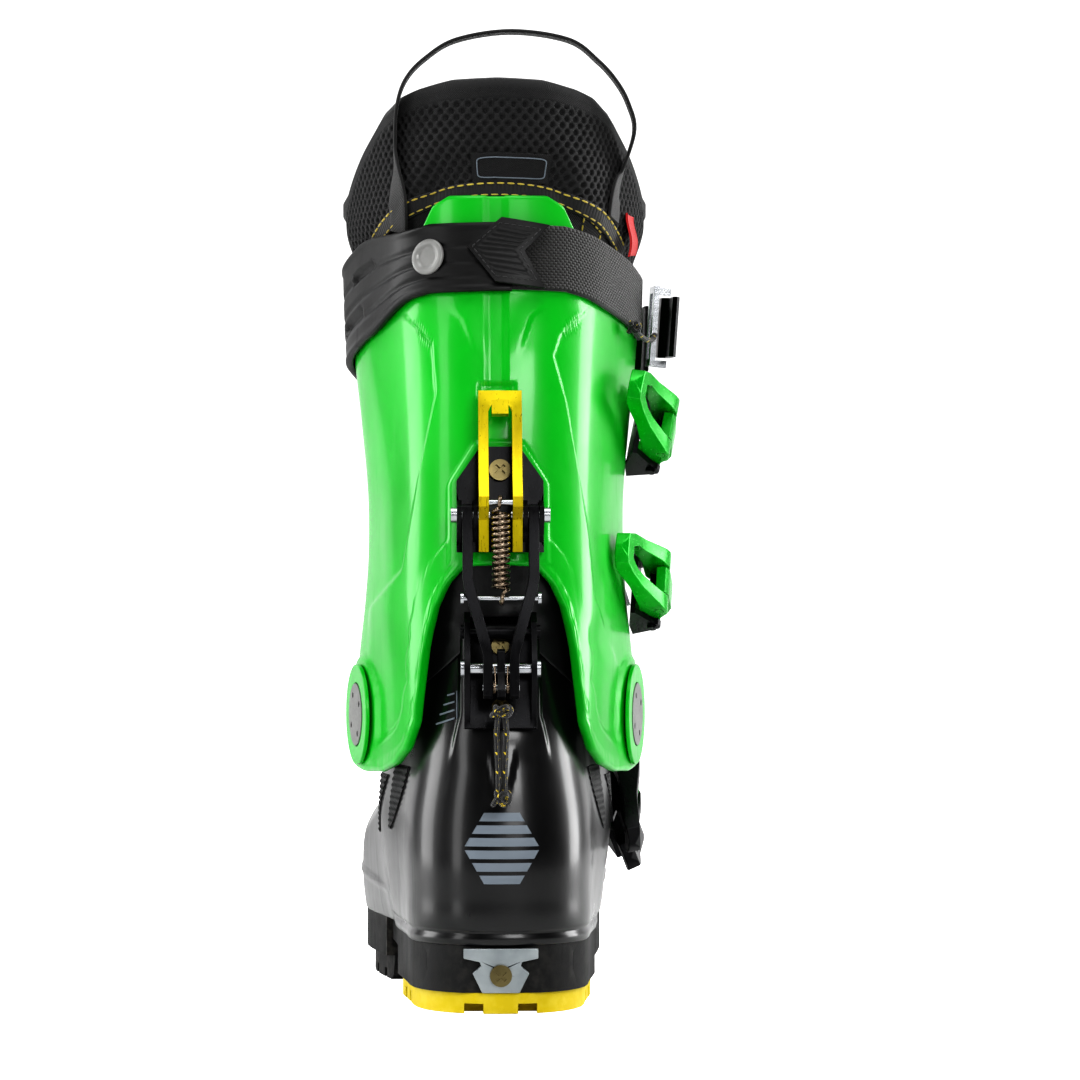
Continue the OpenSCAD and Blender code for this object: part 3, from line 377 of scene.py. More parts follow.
def cuff_point(z, a, inset=0):
    z, a, inset = np.broadcast_arrays(*(np.asarray(v, float) for v in (z, a, inset)))
    r = np.moveaxis(row_at(CUFF, z), -1, 0)

    def width(y):
        return r[3] + (r[4] - r[3]) * smooth((y - r[1] - 22) / r[7]) - inset
    y, x = outline(np.radians(a), r[1] + inset, r[2] - inset, width, r[5], r[6])
    return np.stack([x, y + HEEL_Y, z], -1)


def flap_lift(a):
    return -(CUFF_WALL + FLAP_GAP) * smooth((-np.asarray(a, float) - 112) / 30)


def collar(z, a):
    """How far the liner swells outward above the cuff's edge."""
    return 5 * smooth((z - edge(CUFF_TOP, a) - 5) / 22)


def liner_point(z, a, inset=0):
    return cuff_point(z, a, inset - collar(z, a))


def liner_inside(z, a, inset=0):
    return cuff_point(z, a, inset - 0.3 * collar(z, a))


def rubber_half(a):
    return STRAP_HALF + 6 * smooth((-a - 35) / 40) * (1 - smooth((-a - 120) / 30))


def pivot_arc(y, r):
    return PIVOT[1] + np.sqrt(np.maximum(r * r - (y - PIVOT[0]) ** 2, 0))


def shell_rim(a):
    return np.minimum(178, pivot_arc(shell_point(172, a)[..., 1], 78))


def liner_bottom(a, inset):
    low = np.where(np.abs(a) < 60, 186 - np.abs(a) * 0.12, 0)
    return np.maximum(pivot_arc(cuff_point(190, a, inset)[..., 1], 82), low)


# ---------- mesh building ----------
def columns(angles, low, high, levels, surface, inset):
    """Grid [angle, level, xyz] on a surface between two edges. levels is a count or a list of shares."""
    angles = np.asarray(angles, float)
    shares = np.linspace(0, 1, levels) if np.isscalar(levels) else np.asarray(levels)
    low, high = np.broadcast_to(low, angles.shape), np.broadcast_to(high, angles.shape)
    inset = np.broadcast_to(inset, angles.shape)
    z = low[:, None] + (high - low)[:, None] * shares
    return surface(z, angles[:, None], inset[:, None])


def outward(grid, wrap=False):
    """Unit normals of a grid whose first axis turns counter-clockwise seen from above."""
    if wrap:
        along = np.roll(grid, -1, 0) - np.roll(grid, 1, 0)
    else:
        along = np.gradient(grid, axis=0)
    normal = np.cross(along, np.gradient(grid, axis=1))
    return normal / np.maximum(np.linalg.norm(normal, axis=-1, keepdims=True), 1e-9)


def push(grid, height, wrap=False):
    return grid + outward(grid, wrap) * np.asarray(height)[..., None]


def arc_length(points):
    steps = np.linalg.norm(np.diff(points, axis=0), axis=-1)
    return np.concatenate([[0], np.cumsum(steps)])


def wall(outer, inner, wrap=False, bulge=0.6):
    """Closed solid between two grids, with rounded rims. Returns vertices, faces and pattern coordinates."""
    n, m = outer.shape[:2]
    turns = np.radians([45, 90, 135])

    def rim(a, b, up):
        middle, half = (a + b) / 2, (a - b) / 2
        reach = np.linalg.norm(half, axis=-1, keepdims=True) * bulge
        up = up / np.maximum(np.linalg.norm(up, axis=-1, keepdims=True), 1e-9)
        return [middle + half * math.cos(t) + up * reach * math.sin(t) for t in turns]
    top = rim(outer[:, -1], inner[:, -1], outer[:, -1] - outer[:, -2])
    bottom = rim(inner[:, 0], outer[:, 0], outer[:, 0] - outer[:, 1])
    loops = np.concatenate([outer, np.stack(top, 1), inner[:, ::-1], np.stack(bottom, 1)], 1)
    size = loops.shape[1]
    u = arc_length(outer[:, m // 2])
    v = np.stack([arc_length(outer[j]) for j in range(n)])
    around = np.concatenate([v, np.repeat(v[:, -1:], 3, 1), v[:, ::-1], np.repeat(v[:, :1], 3, 1)], 1)
    pattern = np.stack([np.repeat(u[:, None], size, 1), around, np.zeros_like(around)], -1)
    faces = []
    for j in range(n if wrap else n - 1):
        a, b = j * size, (j + 1) % n * size
        faces += [(a + i, b + i, b + (i + 1) % size, a + (i + 1) % size) for i in range(size)]
    if not wrap:
        for start, flip in ((0, False), ((n - 1) * size, True)):
            for i in range(-2, m + 1):
                ring = [i % size, (i + 1) % size, (2 * m + 2 - i - 1) % size, (2 * m + 2 - i) % size]
                ring = [start + k for k in dict.fromkeys(ring)]
                faces.append(tuple(ring if flip else ring[::-1]))
    return loops.reshape(-1, 3), faces, pattern.reshape(-1, 3)


def build(name, shape, material, body, slot, replaces=(), sharp=None, divide=0, cell_shade=None):
    """Makes a piece in metres from (vertices, faces[, pattern]) and lets it ride on a body."""
    mesh = bpy.data.meshes.new(name)
    mesh.from_pydata((np.asarray(shape[0], float) * MM).tolist(), [], [list(f) for f in shape[1]])
    if len(shape) > 2:
        mesh.attributes.new("pattern", "FLOAT_VECTOR", "POINT").data.foreach_set(
            "vector", np.asarray(shape[2], np.float32).ravel())
    # A per-vertex share of painted shade, for the cell hollows of the spacer mesh.
    if cell_shade is not None:
        mesh.attributes.new("cell_shade", "FLOAT", "POINT").data.foreach_set("value", np.asarray(cell_shade, np.float32))
    mesh.shade_smooth()
    if sharp:
        mesh.set_sharp_from_angle(angle=math.radians(sharp))
    mesh.materials.append(material)
    piece = bpy.data.objects.new(name, mesh)
    bpy.context.collection.objects.link(piece)
    if divide:
        piece.modifiers.new("finer", "SUBSURF").levels = divide
        piece.modifiers["finer"].render_levels = divide
    if body:
        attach(piece, body)
    if replaces:
        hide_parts(*replaces)
    return piece


def merged(shapes):
    """Several shapes as one."""
    vertices, faces, patterns, start = [], [], [], 0
    for shape in shapes:
        vertices.append(np.asarray(shape[0], float))
        patterns.append(np.asarray(shape[2], float) if len(shape) > 2 else np.zeros((len(shape[0]), 3)))
        faces += [tuple(k + start for k in f) for f in shape[1]]
        start += len(shape[0])
    return np.concatenate(vertices), faces, np.concatenate(patterns)


def curve_through(points, count):
    """Catmull-Rom curve through the points, with count samples spread by length."""
    points = np.asarray(points, float)
    rows = np.column_stack([np.arange(len(points)), points])
    fine = row_at(rows, np.linspace(0, len(points) - 1, 400))[:, 1:]
    length = arc_length(fine)
    at = np.linspace(0, length[-1], count)
    return np.stack([np.interp(at, length, fine[:, k]) for k in range(3)], -1)


def tube(points, radius, sides=10, closed_ends=True, flat=1.0, up=(0, 0, 1)):
    """Round tube along points; its pattern is turns round it and millimetres along it."""
    points = np.asarray(points, float)
    radius = np.broadcast_to(radius, len(points))
    heading = np.gradient(points, axis=0)
    heading /= np.linalg.norm(heading, axis=1, keepdims=True)
    u = np.cross(heading[0], up)
    if np.linalg.norm(u) < 0.1:
        u = np.cross(heading[0], (1, 0, 0))
    vertices, pattern = [], []
    along = arc_length(points)
    for k, (p, t) in enumerate(zip(points, heading)):
        u = u - t * np.dot(u, t)
        u /= np.linalg.norm(u)
        v = np.cross(t, u)
        for i in range(sides):
            a = 2 * math.pi * i / sides
            vertices.append(p + radius[k] * (u * math.cos(a) + v * math.sin(a) * flat))
            pattern.append((i / sides, along[k], 0))
    faces = []
    for k in range(len(points) - 1):
        a, b = k * sides, (k + 1) * sides
        faces += [(a + i, a + (i + 1) % sides, b + (i + 1) % sides, b + i) for i in range(sides)]
    if closed_ends:
        faces.append(tuple(range(sides))[::-1])
        faces.append(tuple(range(len(vertices) - sides, len(vertices))))
    return vertices, faces, pattern


def ribbon(points, sides, width, thick, lift=0.0):
    """Flat band along points: sides are the unit directions across it."""
    points, sides = np.asarray(points, float), np.asarray(sides, float)
    heading = np.gradient(points, axis=0)
    heading /= np.linalg.norm(heading, axis=1, keepdims=True)
    out = np.cross(sides, heading)
    out /= np.linalg.norm(out, axis=1, keepdims=True)
    spread = np.linspace(-0.5, 0.5, 7) * width
    outer = points[:, None] + sides[:, None] * spread[:, None] + out[:, None] * (thick / 2 + lift)
    inner = points[:, None] + sides[:, None] * spread[:, None] - out[:, None] * (thick / 2 - lift)
    return wall(outer, inner, bulge=0.9)


def stitches(route, stitch=3.0, gap=1.2, radius=0.38):
    """A row of thread stitches along a route that already lies on the fabric."""
    route = np.asarray(route, float)
    length = arc_length(route)
    made = []
    start = gap
    while start + stitch < length[-1]:
        at = start + stitch * np.array([0, 0.12, 0.5, 0.88, 1])
        points = np.stack([np.interp(at, length, route[:, k]) for k in range(3)], -1)
        made.append(tube(points, radius * np.array([0.35, 0.85, 1, 0.85, 0.35]), 6))
        start += stitch + gap
    return merged(made)


# ---------- cords ----------
CORD_R = 1.1
CORD_Y = -47.6
CORD_DROP = [[1.4, 120.6], [1.7, 117], [2, 113], [1.8, 108], [1.6, 103], [1.4, 98], [1.3, 94], [1.2, 89.6]]
CAM_CORD = [[67.6, 72, 277], [66.8, 69, 275.4], [65.4, 65, 274.4], [63.6, 60.5, 274.4], [61.6, 56, 275.2],
            [59.8, 52, 276.6], [58.4, 49, 278], [57, 46.2, 279.4], [55.9, 43.6, 281]]
KNOT_TOP = (0, CORD_Y, 121.9)
KNOT_END = (0, CORD_Y, 87)


def knot(centre, width, height, turns):
    """Overhand knot: a cord wound in a few crossing loops about the centre."""
    t = np.linspace(0, 1, 130)
    swing = 2 * math.pi * turns * t
    x = (width - CORD_R) * np.sin(swing) * (0.75 + 0.25 * np.cos(swing * 0.5))
    y = (width * 0.72 - CORD_R) * np.cos(swing)
    z = height * np.sin(swing * 1.5 + 0.7) * 0.5
    points = np.stack([x, y, z], -1) + centre
    return tube(points, CORD_R * 0.98, 10)


def cord_piece(name, route, body, diameter=2 * CORD_R):
    path = curve_through(route, 34)
    made = build(name, tube(path, diameter / 2, 12), CORD, body, "cord")
    return made, path


knots = build("cord_knots_tied", merged([knot(KNOT_TOP, 5.2, 3.4, 3.5), knot(KNOT_END, 4.7, 4.8, 3.5)]),
              CORD, "link", "cord", ["cord_knots"])
for side, label in ((-1, "left"), (1, "right")):
    drop = [[side * x, CORD_Y + side * 0.3, z] for x, z in CORD_DROP]
    strand, path = cord_piece("pull_cord_" + label, drop, "link")
    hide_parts("pull_cord")
cam_knot = build("cam_cord_knot", knot((57.6, 46.6, 279), 3.4, 3.4, 2.2), CORD, "cuff", "cord")
cam_cord, path = cord_piece("cam_cord_tail", CAM_CORD, "cuff")
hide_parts("cam_cord")


# ---------- shaping helpers ----------
def sample(grid, u, v):
    """Catmull-Rom value of a grid at fractional column u and row v."""
    def weights(t):
        return np.stack([-0.5 * t + t**2 - 0.5 * t**3, 1 - 2.5 * t**2 + 1.5 * t**3,
                         0.5 * t + 2 * t**2 - 1.5 * t**3, -0.5 * t**2 + 0.5 * t**3], -1)
    n, m = grid.shape[:2]
    i, k = np.clip(np.floor(u).astype(int), 0, n - 2), np.clip(np.floor(v).astype(int), 0, m - 2)
    across, up = weights(u - i), weights(v - k)
    total = 0
    for p in range(4):
        for q in range(4):
            corner = grid[np.clip(i + p - 1, 0, n - 1), np.clip(k + q - 1, 0, m - 1)]
            total = total + corner * (across[..., p] * up[..., q])[..., None]
    return total


def on_back(surface, x, z, inset=0):
    """Points of a surface's rear half that lie at x and z."""
    x, z, inset = np.broadcast_arrays(*(np.asarray(v, float) for v in (x, z, inset)))
    low, high = np.full(x.shape, -88.0), np.full(x.shape, 88.0)
    for _ in range(26):
        middle = (low + high) / 2
        beyond = surface(z, middle, inset)[..., 0] > x
        high = np.where(beyond, middle, high)
        low = np.where(beyond, low, middle)
    return surface(z, (low + high) / 2, inset)


def distance(x, z, route):
    """Distance from points to an open polyline in the rear view, and which side of it they are on."""
    best = np.full(np.shape(x), 1e9)
    side = np.zeros(np.shape(x))
    for (x0, z0), (x1, z1) in zip(route[:-1], route[1:]):
        dx, dz = x1 - x0, z1 - z0
        t = np.clip(((x - x0) * dx + (z - z0) * dz) / (dx * dx + dz * dz), 0, 1)
        d = np.hypot(x - x0 - t * dx, z - z0 - t * dz)
        closer = d < best
        best = np.where(closer, d, best)
        side = np.where(closer, np.sign((x - x0) * dz - (z - z0) * dx), side)
    return best, side


def crease(x, z, route, height, fade=22, width=1.1):
    """Moulded crease: a step up on the route's right side that runs out over fade."""
    d, side = distance(x, z, route)
    signed = d * side
    step = ramp(-width / 2, width / 2, signed) * (1 - ramp(0, fade, signed))
    ends = np.asarray(route, float)
    run_out = ramp(0, 14, np.hypot(x - ends[0, 0], z - ends[0, 1])) * ramp(
        0, 14, np.hypot(x - ends[-1, 0], z - ends[-1, 1]))
    return height * step * run_out


def inside(x, z, corners, soft=0.9):
    """1 inside a convex outline given clockwise seen from behind, easing to 0 across its edge."""
    inner = 1.0
    for (x0, z0), (x1, z1) in zip(corners, corners[1:] + corners[:1]):
        size = math.hypot(x1 - x0, z1 - z0)
        inner = inner * ramp(-soft, soft, ((x - x0) * (z1 - z0) - (z - z0) * (x1 - x0)) / size)
    return inner


def patch(name, outer_at, thick, material, body, slot, size=(24, 16), relief=None, **more):
    """Thin piece on a surface: outer_at(s, t, lift) gives points for s and t from 0 to 1."""
    s, t = np.meshgrid(np.linspace(0, 1, size[0]), np.linspace(0, 1, size[1]), indexing="ij")
    outer = outer_at(s, t, thick)
    if relief is not None:
        outer = push(outer, relief(s, t))
    return build(name, wall(outer, outer_at(s, t, 0.0)), material, body, slot, **more)


def inflate(piece, held, pressure, cap, frames=18):
    """Puffs a closed mesh by cloth simulation: held vertices stay, the rest moves cap millimetres at most."""
    mesh = piece.data
    start = np.array([v.co for v in mesh.vertices])
    group = piece.vertex_groups.new(name="held")
    group.add([int(i) for i in np.flatnonzero(held)], 1.0, "REPLACE")
    cloth = piece.modifiers.new("puff", "CLOTH")
    settings = cloth.settings
    settings.quality = 6
    settings.mass = 0.12
    settings.tension_stiffness = settings.compression_stiffness = 12
    settings.shear_stiffness = 6
    settings.bending_stiffness = 0.6
    settings.use_pressure = True
    settings.uniform_pressure_force = pressure
    settings.vertex_group_mass = "held"
    settings.effector_weights.gravity = 0
    scene = bpy.context.scene
    cloth.point_cache.frame_start = 1
    cloth.point_cache.frame_end = frames
    for step in range(1, frames + 1):
        scene.frame_set(step)
    moved = piece.evaluated_get(bpy.context.evaluated_depsgraph_get()).data
    now = np.array([v.co for v in moved.vertices])
    piece.modifiers.remove(cloth)
    scene.frame_set(1)
    move = now - start
    size = np.linalg.norm(move, axis=1, keepdims=True)
    move *= np.minimum(1, cap * MM / np.maximum(size, 1e-9))
    mesh.vertices.foreach_set("co", (start + move).astype(np.float32).ravel())
    mesh.update()
    piece.vertex_groups.remove(group)


# ---------- lower shell ----------
shell_angles = np.concatenate([np.arange(-180, -66, 3.0), np.arange(-66, 66, 1.2), np.arange(66, 180, 3.0)])
shell_shares = np.concatenate([np.linspace(0, 0.09, 18), np.linspace(0.09, 1, 96)[1:]])
PLATFORM = [(-16, 112), (-15.5, 162), (15.5, 162), (16, 112)]
FLARE = [(-21.5, 96), (-16, 119), (16, 119), (21.5, 96)]


def shell_relief(p):
    x, y, z = p[..., 0], p[..., 1], p[..., 2]
    rear = y < 8
    groove = -0.9 * np.exp(-((z - 32.4) / 0.75) ** 2) * (1 - ramp(56, 70, y))
    lip = 0.5 * (1 - ramp(29.5, 31.5, z)) * (1 - ramp(56, 70, y))
    raised = np.maximum(inside(x, z, PLATFORM), inside(x, z, FLARE))
    mount = np.where(rear, 1.9 * raised * ramp(98, 114, z), 0)
    taper = np.interp(z, [88, 110], [2.6, 6.8])
    rib = np.where(rear, 1.1 * (1 - ramp(taper - 0.6, taper + 0.6, np.abs(x - 0.5)))
                   * ramp(88, 92, z) * (1 - ramp(108, 112, z)), 0)
    welt = 0.8 * np.exp(-((z - 44 - 0.05 * (y - 150)) / 1.3) ** 2) * ramp(70, 100, y)
    return groove + lip + np.maximum(mount, rib) + welt


shell_top = shell_rim(shell_angles)
skin = columns(shell_angles, 28, shell_top, shell_shares, shell_point, 0)
lining = columns(shell_angles, 31, shell_top, shell_shares, shell_point, SHELL_WALL)
build("lower_shell_skin", wall(push(skin, shell_relief(skin), True), lining, True), BLACK, "root",
      "shell_black", ["lower_shell"])

flap_angles = np.linspace(128, 232, 90)
flap_low, flap_high = 88 + 0.001 * (flap_angles - 180) ** 2, 146 - 0.0016 * (flap_angles - 180) ** 2
flap_outer = columns(flap_angles, flap_low, flap_high, 50, shell_point, -3.2)
bend = np.linspace(0, 1, 50)[None, :]
ribs = 0.7 * np.exp(-((np.abs(flap_angles[:, None] - 180) - 26 - 9 * bend) / 3.0) ** 2)
build("instep_flap_skin", wall(push(flap_outer, ribs), columns(flap_angles, flap_low, flap_high, 50,
      shell_point, -0.9)), BLACK_MATT, "root", "shell_black", ["instep_flap"])


def shield(name, a0, a1, z_low, z_high):
    """Shield-shaped field of small dimples on the shell's flank."""
    def at(s, t, lift):
        spread = (0.06 + 0.94 * t ** 0.8)
        a = (a0 + a1) / 2 + (s - 0.5) * (a1 - a0) * spread
        return shell_point(z_low + (z_high - z_low) * t, a, -0.03 - lift)

    def dimples(s, t):
        u, v = (s - 0.5) * 11 * (0.06 + 0.94 * t ** 0.8), t * 11
        row = np.floor(v)
        du, dv = (u + 0.5 * (row % 2)) % 1 - 0.5, v % 1 - 0.5
        return -0.55 * np.exp(-((du / 0.2) ** 2 + (dv / 0.3) ** 2))
    patch(name, at, 0.5, BLACK_MATT, "root", "shell_black", (96, 96), dimples)


for mirror, label in ((-1, "medial"), (1, "lateral")):
    shield("texture_shield_rear_" + label, mirror * 56, mirror * 71, 70, 97)
    shield("texture_shield_side_" + label, mirror * 76, mirror * 88, 66, 92)

# Generic mark on the heel: a hexagon of plain bars
MARK = (0.4, 66.5)
bars = []
for k in range(6):
    middle = -12.5 + 5 * k

    def bar(s, t, lift):
        h = middle + (t - 0.5) * 3.4
        half = 15.4 - np.abs(h) * 0.577
        return on_back(shell_point, MARK[0] + (2 * s - 1) * half, MARK[1] + h, -0.03 - lift)
    s, t = np.meshgrid(np.linspace(0, 1, 30), np.linspace(0, 1, 5), indexing="ij")
    bars.append(wall(bar(s, t, 0.09), bar(s, t, 0.0)))
build("heel_mark", merged(bars), PRINT, "root", "shell_black")

ticks = []
for k in range(4):
    ends = [(-21.2 - 1.5 * k, 127.1 - 3.9 * k), (-18.3, 128 - 3.3 * k)]
    line = np.linspace(ends[0], ends[1], 12)
    ticks.append(tube(on_back(shell_point, line[:, 0], line[:, 1], -0.05), 0.42, 8))
line = np.linspace((-17.4, 118), (-17.4, 129), 12)
ticks.append(tube(on_back(shell_point, line[:, 0], line[:, 1], -0.05), 0.3, 8))
build("lean_scale", merged(ticks), PRINT, "root", "shell_black")

# ---------- cuff ----------
cuff_angles = np.concatenate([np.linspace(-238, -64, 88), np.linspace(-62.8, 62.8, 116),
                              np.linspace(65, 214, 76)])
CUFF_LEVELS = 150
LEFT_CREASE = [(-62, 150), (-50, 165), (-39, 178), (-32, 218), (-25.5, 250), (-27, 270), (-43, 288)]
LEFT_VEE = [(-9, 262), (-12, 272), (-15, 280), (-24, 288)]
RIGHT_VEE = [(25, 291), (13, 281), (10, 272), (7, 262)]
RIGHT_CREASE = [(41, 289), (25, 274), (22, 265), (27, 247), (36, 193), (38.5, 167), (45, 150)]
BRACKET_SEAT = [(-20.4, 180), (-20.4, 213), (-10, 229.5), (9, 229.5), (19.6, 213), (19.6, 180)]


def cuff_relief(p, low_edge):
    x, y, z = p[..., 0], p[..., 1], p[..., 2]
    rear = 1 - ramp(38, 50, y)
    channel = -0.8 * (1 - ramp(3.3, 4.3, np.abs(x + 1.2))) * ramp(250, 252, z) * (y < 40)
    recess = -1.2 * (1 - ramp(6.4, 7.4, np.abs(x + 1.2))) * ramp(247, 248.4, z) * (
        1 - ramp(253.4, 254.6, z)) * (y < 20)
    seat = 1.5 * inside(x, z, BRACKET_SEAT, 0.8) * (y < 20)
    folds = (crease(x, z, LEFT_CREASE, 1.3) + crease(x, z, RIGHT_CREASE, 1.3)
             + crease(x, z, LEFT_VEE, 0.7, 10) + crease(x, z, RIGHT_VEE, 0.7, 10)) * rear
    near = np.min(np.linalg.norm(p[:, :, None, :] - low_edge[None, None, ::3], axis=-1), axis=2)
    hem = 0.9 * (1 - ramp(11.5, 12.8, near)) + 0.35 * (1 - ramp(2.6, 3.4, near))
    boss = 1.3 * (1 - ramp(23.6, 25.2, np.hypot(y - PIVOT[0], z - PIVOT[1])))
    return channel + recess + np.maximum(seat, np.maximum(folds, np.maximum(hem, boss)))


cuff_low, cuff_high = edge(CUFF_LOW, cuff_angles), edge(CUFF_TOP, cuff_angles)
lift = flap_lift(cuff_angles)
cuff_outer = columns(cuff_angles, cuff_low, cuff_high, CUFF_LEVELS, cuff_point, lift)
cuff_inner = columns(cuff_angles, cuff_low, cuff_high, CUFF_LEVELS, cuff_point, CUFF_WALL + lift)
fine_relief = cuff_relief(cuff_outer, cuff_outer[:, 0])
build("cuff_shell_skin", wall(push(cuff_outer, fine_relief), cuff_inner), GREEN, "cuff", "cuff_green",
      ["cuff_shell"])

# Thin rubber gaiter between the shell and the cuff's rear arch
gaiter_angles = np.linspace(-50, 50, 90)
shares = np.linspace(0, 1, 40)
gaiter_x = cuff_point(170, gaiter_angles, CUFF_WALL)[:, 0]
gaiter_low = 150 - np.maximum(np.abs(gaiter_x) - 12.5, 0) * 0.82
gaiter_z = gaiter_low[:, None] + (186 - gaiter_low)[:, None] * shares
on_shell = shell_point(np.minimum(gaiter_z, 176), gaiter_angles[:, None], -1.0)
on_shell[..., 2] = gaiter_z
under_cuff = cuff_point(gaiter_z, gaiter_angles[:, None], CUFF_WALL + 0.8)
rise = smooth(shares)[None, :, None]
gaiter = on_shell * (1 - rise) + under_cuff * rise
folds = np.array([[noise.noise(Vector((q[0] * 0.07, q[2] * 0.16, 3.1))) for q in row] for row in gaiter])
gaiter = push(gaiter, 1.1 * folds * np.sin(math.pi * shares)[None, :])
gaiter_piece = build("rear_gaiter_skin", wall(gaiter, gaiter - outward(gaiter) * 0.7), GAITER, None, "gaiter",
                     ["rear_gaiter"])
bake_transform(gaiter_piece)


# ---------- liner ----------
LINER_COLUMNS = 72
LINER_ROWS = 34
liner_angles = np.linspace(-142, 142, LINER_COLUMNS)
liner_low = liner_bottom(liner_angles, LINER_GAP)
liner_high = LINER_HIGH + edge(LINER_TOP, liner_angles)
SEAM_ANGLE = 76


def band_height(a):
    return 334.5 - 0.0042 * np.asarray(a, float) ** 2


def padded_wall(name, angles, low, high, rows, faces, insets, seams, cap):
    """Foam-filled wall of the liner, puffed between its seams. Returns its object and outer grid."""
    outer = columns(angles, low, high, rows, faces[0], insets[0])
    inner = columns(angles, low, high, rows, faces[1], insets[1])
    made = build(name, wall(outer, inner, bulge=0.8), LINER, None, "liner_foam")
    points = np.array([v.co for v in made.data.vertices]) / MM
    inflate(made, seams(points), 3.0, cap)
    size = 2 * rows + 6
    points = (np.array([v.co for v in made.data.vertices]) / MM).reshape(len(angles), size, 3)
    finer = made.modifiers.new("finer", "SUBSURF")
    finer.levels = finer.render_levels = 1
    return made, points[:, :rows]


def liner_seams(p):
    """Vertices that stay: under the cuff, along the band and along the vertical seams."""
    a = np.degrees(np.arctan2(p[:, 0], 48 - p[:, 1]))
    low = p[:, 2] < edge(CUFF_TOP, a) - 12
    band = np.abs(p[:, 2] - band_height(np.clip(a, -SEAM_ANGLE, SEAM_ANGLE))) < 4.5
    upright = np.abs(np.abs(a) - 100) < 4
    return low | band | upright


liner, liner_outer = padded_wall("liner_cuff_foam", liner_angles, liner_low, liner_high, LINER_ROWS,
                                 (liner_point, liner_inside), (LINER_GAP, LINER_GAP + LINER_WALL),
                                 liner_seams, 2.2)
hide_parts("liner_cuff")
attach(liner, "cuff")


def on_liner(a, z, lift=0.0):
    """Points of the puffed liner's outside, moved out by lift."""
    a, z = np.broadcast_arrays(np.asarray(a, float), np.asarray(z, float))
    low = np.interp(a, liner_angles, liner_low)
    high = np.interp(a, liner_angles, liner_high)
    u = (a - liner_angles[0]) / (liner_angles[1] - liner_angles[0])
    v = (z - low) / (high - low) * (LINER_ROWS - 1)
    normals = outward(liner_outer)
    return sample(liner_outer, u, v) + sample(normals, u, v) * np.asarray(lift)[..., None]


def liner_angle(x, z):
    """Angle at which the liner's rear half is at x."""
    low, high = -88.0, 88.0
    for _ in range(24):
        middle = (low + high) / 2
        if liner_point(z, middle, LINER_GAP)[0] > x:
            high = middle
        else:
            low = middle
    return middle


def strip(angles, low, high, rows, lift):
    z = low[:, None] + (high - low)[:, None] * np.linspace(0, 1, rows)
    return on_liner(np.repeat(angles[:, None], rows, 1), z, np.full(z.shape, float(lift)))


# Honeycomb spacer mesh over the back panel
CELL_PITCH = 4.7
CELL_ROW = 5.6
MESH_ANGLE = 92
mesh_angles = np.linspace(-MESH_ANGLE, MESH_ANGLE, 430)
mesh_low = np.minimum(band_height(mesh_angles) + 1, LINER_HIGH + edge(LINER_TOP, mesh_angles) - 14)
mesh_high = LINER_HIGH + edge(LINER_TOP, mesh_angles) - 2.5
panel = strip(mesh_angles, mesh_low, mesh_high, 84, 0.9)
u = arc_length(panel[:, 40])[:, None] * np.ones((1, 84))
v = panel[..., 2] * 1.03


def cells(u, v):
    """Distance to the nearest centre of a staggered lattice."""
    def lattice(du, dv):
        return np.hypot(((u / CELL_PITCH + du) % 1 - 0.5) * CELL_PITCH,
                        ((v / CELL_ROW + dv) % 1 - 0.5) * CELL_ROW * 0.9)
    return np.minimum(lattice(0, 0), lattice(0.5, 0.5))


hole = 1 - ramp(0.85, 1.55, cells(u, v))
margin = np.minimum(np.minimum(ramp(0, 2, u - u[0]), ramp(0, 2, u[-1] - u)),
                    ramp(1.5, 3.5, mesh_high[:, None] - panel[..., 2]))
hole = hole * margin
mesh_face = push(panel, -1.0 * hole + 0.15 * (1 - hole))
mesh_shape = wall(mesh_face, strip(mesh_angles, mesh_low, mesh_high, 84, -0.3))
# The same hole shares drive the spacer's painted shade: its colour goes near black in the cell hollows.
cell_shade = np.concatenate([hole, np.zeros((430, 90))], 1).ravel()
build("liner_spacer_mesh", mesh_shape, MESH, "cuff", "liner_mesh", cell_shade=cell_shade)

# Binding folded over the top edge
bind_angles = np.linspace(-142, 142, 200)
bind_high = LINER_HIGH + edge(LINER_TOP, bind_angles)
bind_outer = strip(bind_angles, bind_high - 4.5, bind_high, 8, 1.1)
bind_inner = columns(bind_angles, bind_high - 4.5, bind_high, 8, liner_inside, LINER_GAP + LINER_WALL + 0.8)
build("liner_binding", wall(bind_outer, bind_inner, bulge=0.75), LINER, "cuff", "liner_foam")

# Ribbed band with yellow stitching
band_angles = np.linspace(-SEAM_ANGLE, SEAM_ANGLE, 200)
band_low, band_high = band_height(band_angles) - 3.2, band_height(band_angles) + 2.8
build("liner_band_ribbed", wall(strip(band_angles, band_low, band_high, 8, 1.6),
                                strip(band_angles, band_low, band_high, 8, 0.2)), BAND, "cuff", "webbing",
      ["liner_band"])
seam = [stitches(on_liner(band_angles, band_high - 0.6, np.full(200, 1.75)), 3.0, 1.2, 0.42),
        stitches(on_liner(band_angles, band_low + 0.5, np.full(200, 1.75)), 3.0, 1.2, 0.36)]
for x0, z0, x1, z1 in ((-37, 323, -44, 318), (-44, 318, -42.5, 312), (36, 325, 43, 318), (43, 318, 41, 311),
                       (36, 325, 34.5, 317)):
    line = np.linspace((x0, z0), (x1, z1), 12)
    a = np.array([liner_angle(x, z) for x, z in line])
    seam.append(stitches(on_liner(a, line[:, 1], np.full(12, 0.35)), 2.4, 1.0, 0.38))
build("liner_stitching", merged(seam), THREAD, "cuff", "liner_foam")

# Blank label on the mesh, with a woven border
label_x, label_z = (-10.5, 21), (336.5, 348.5)


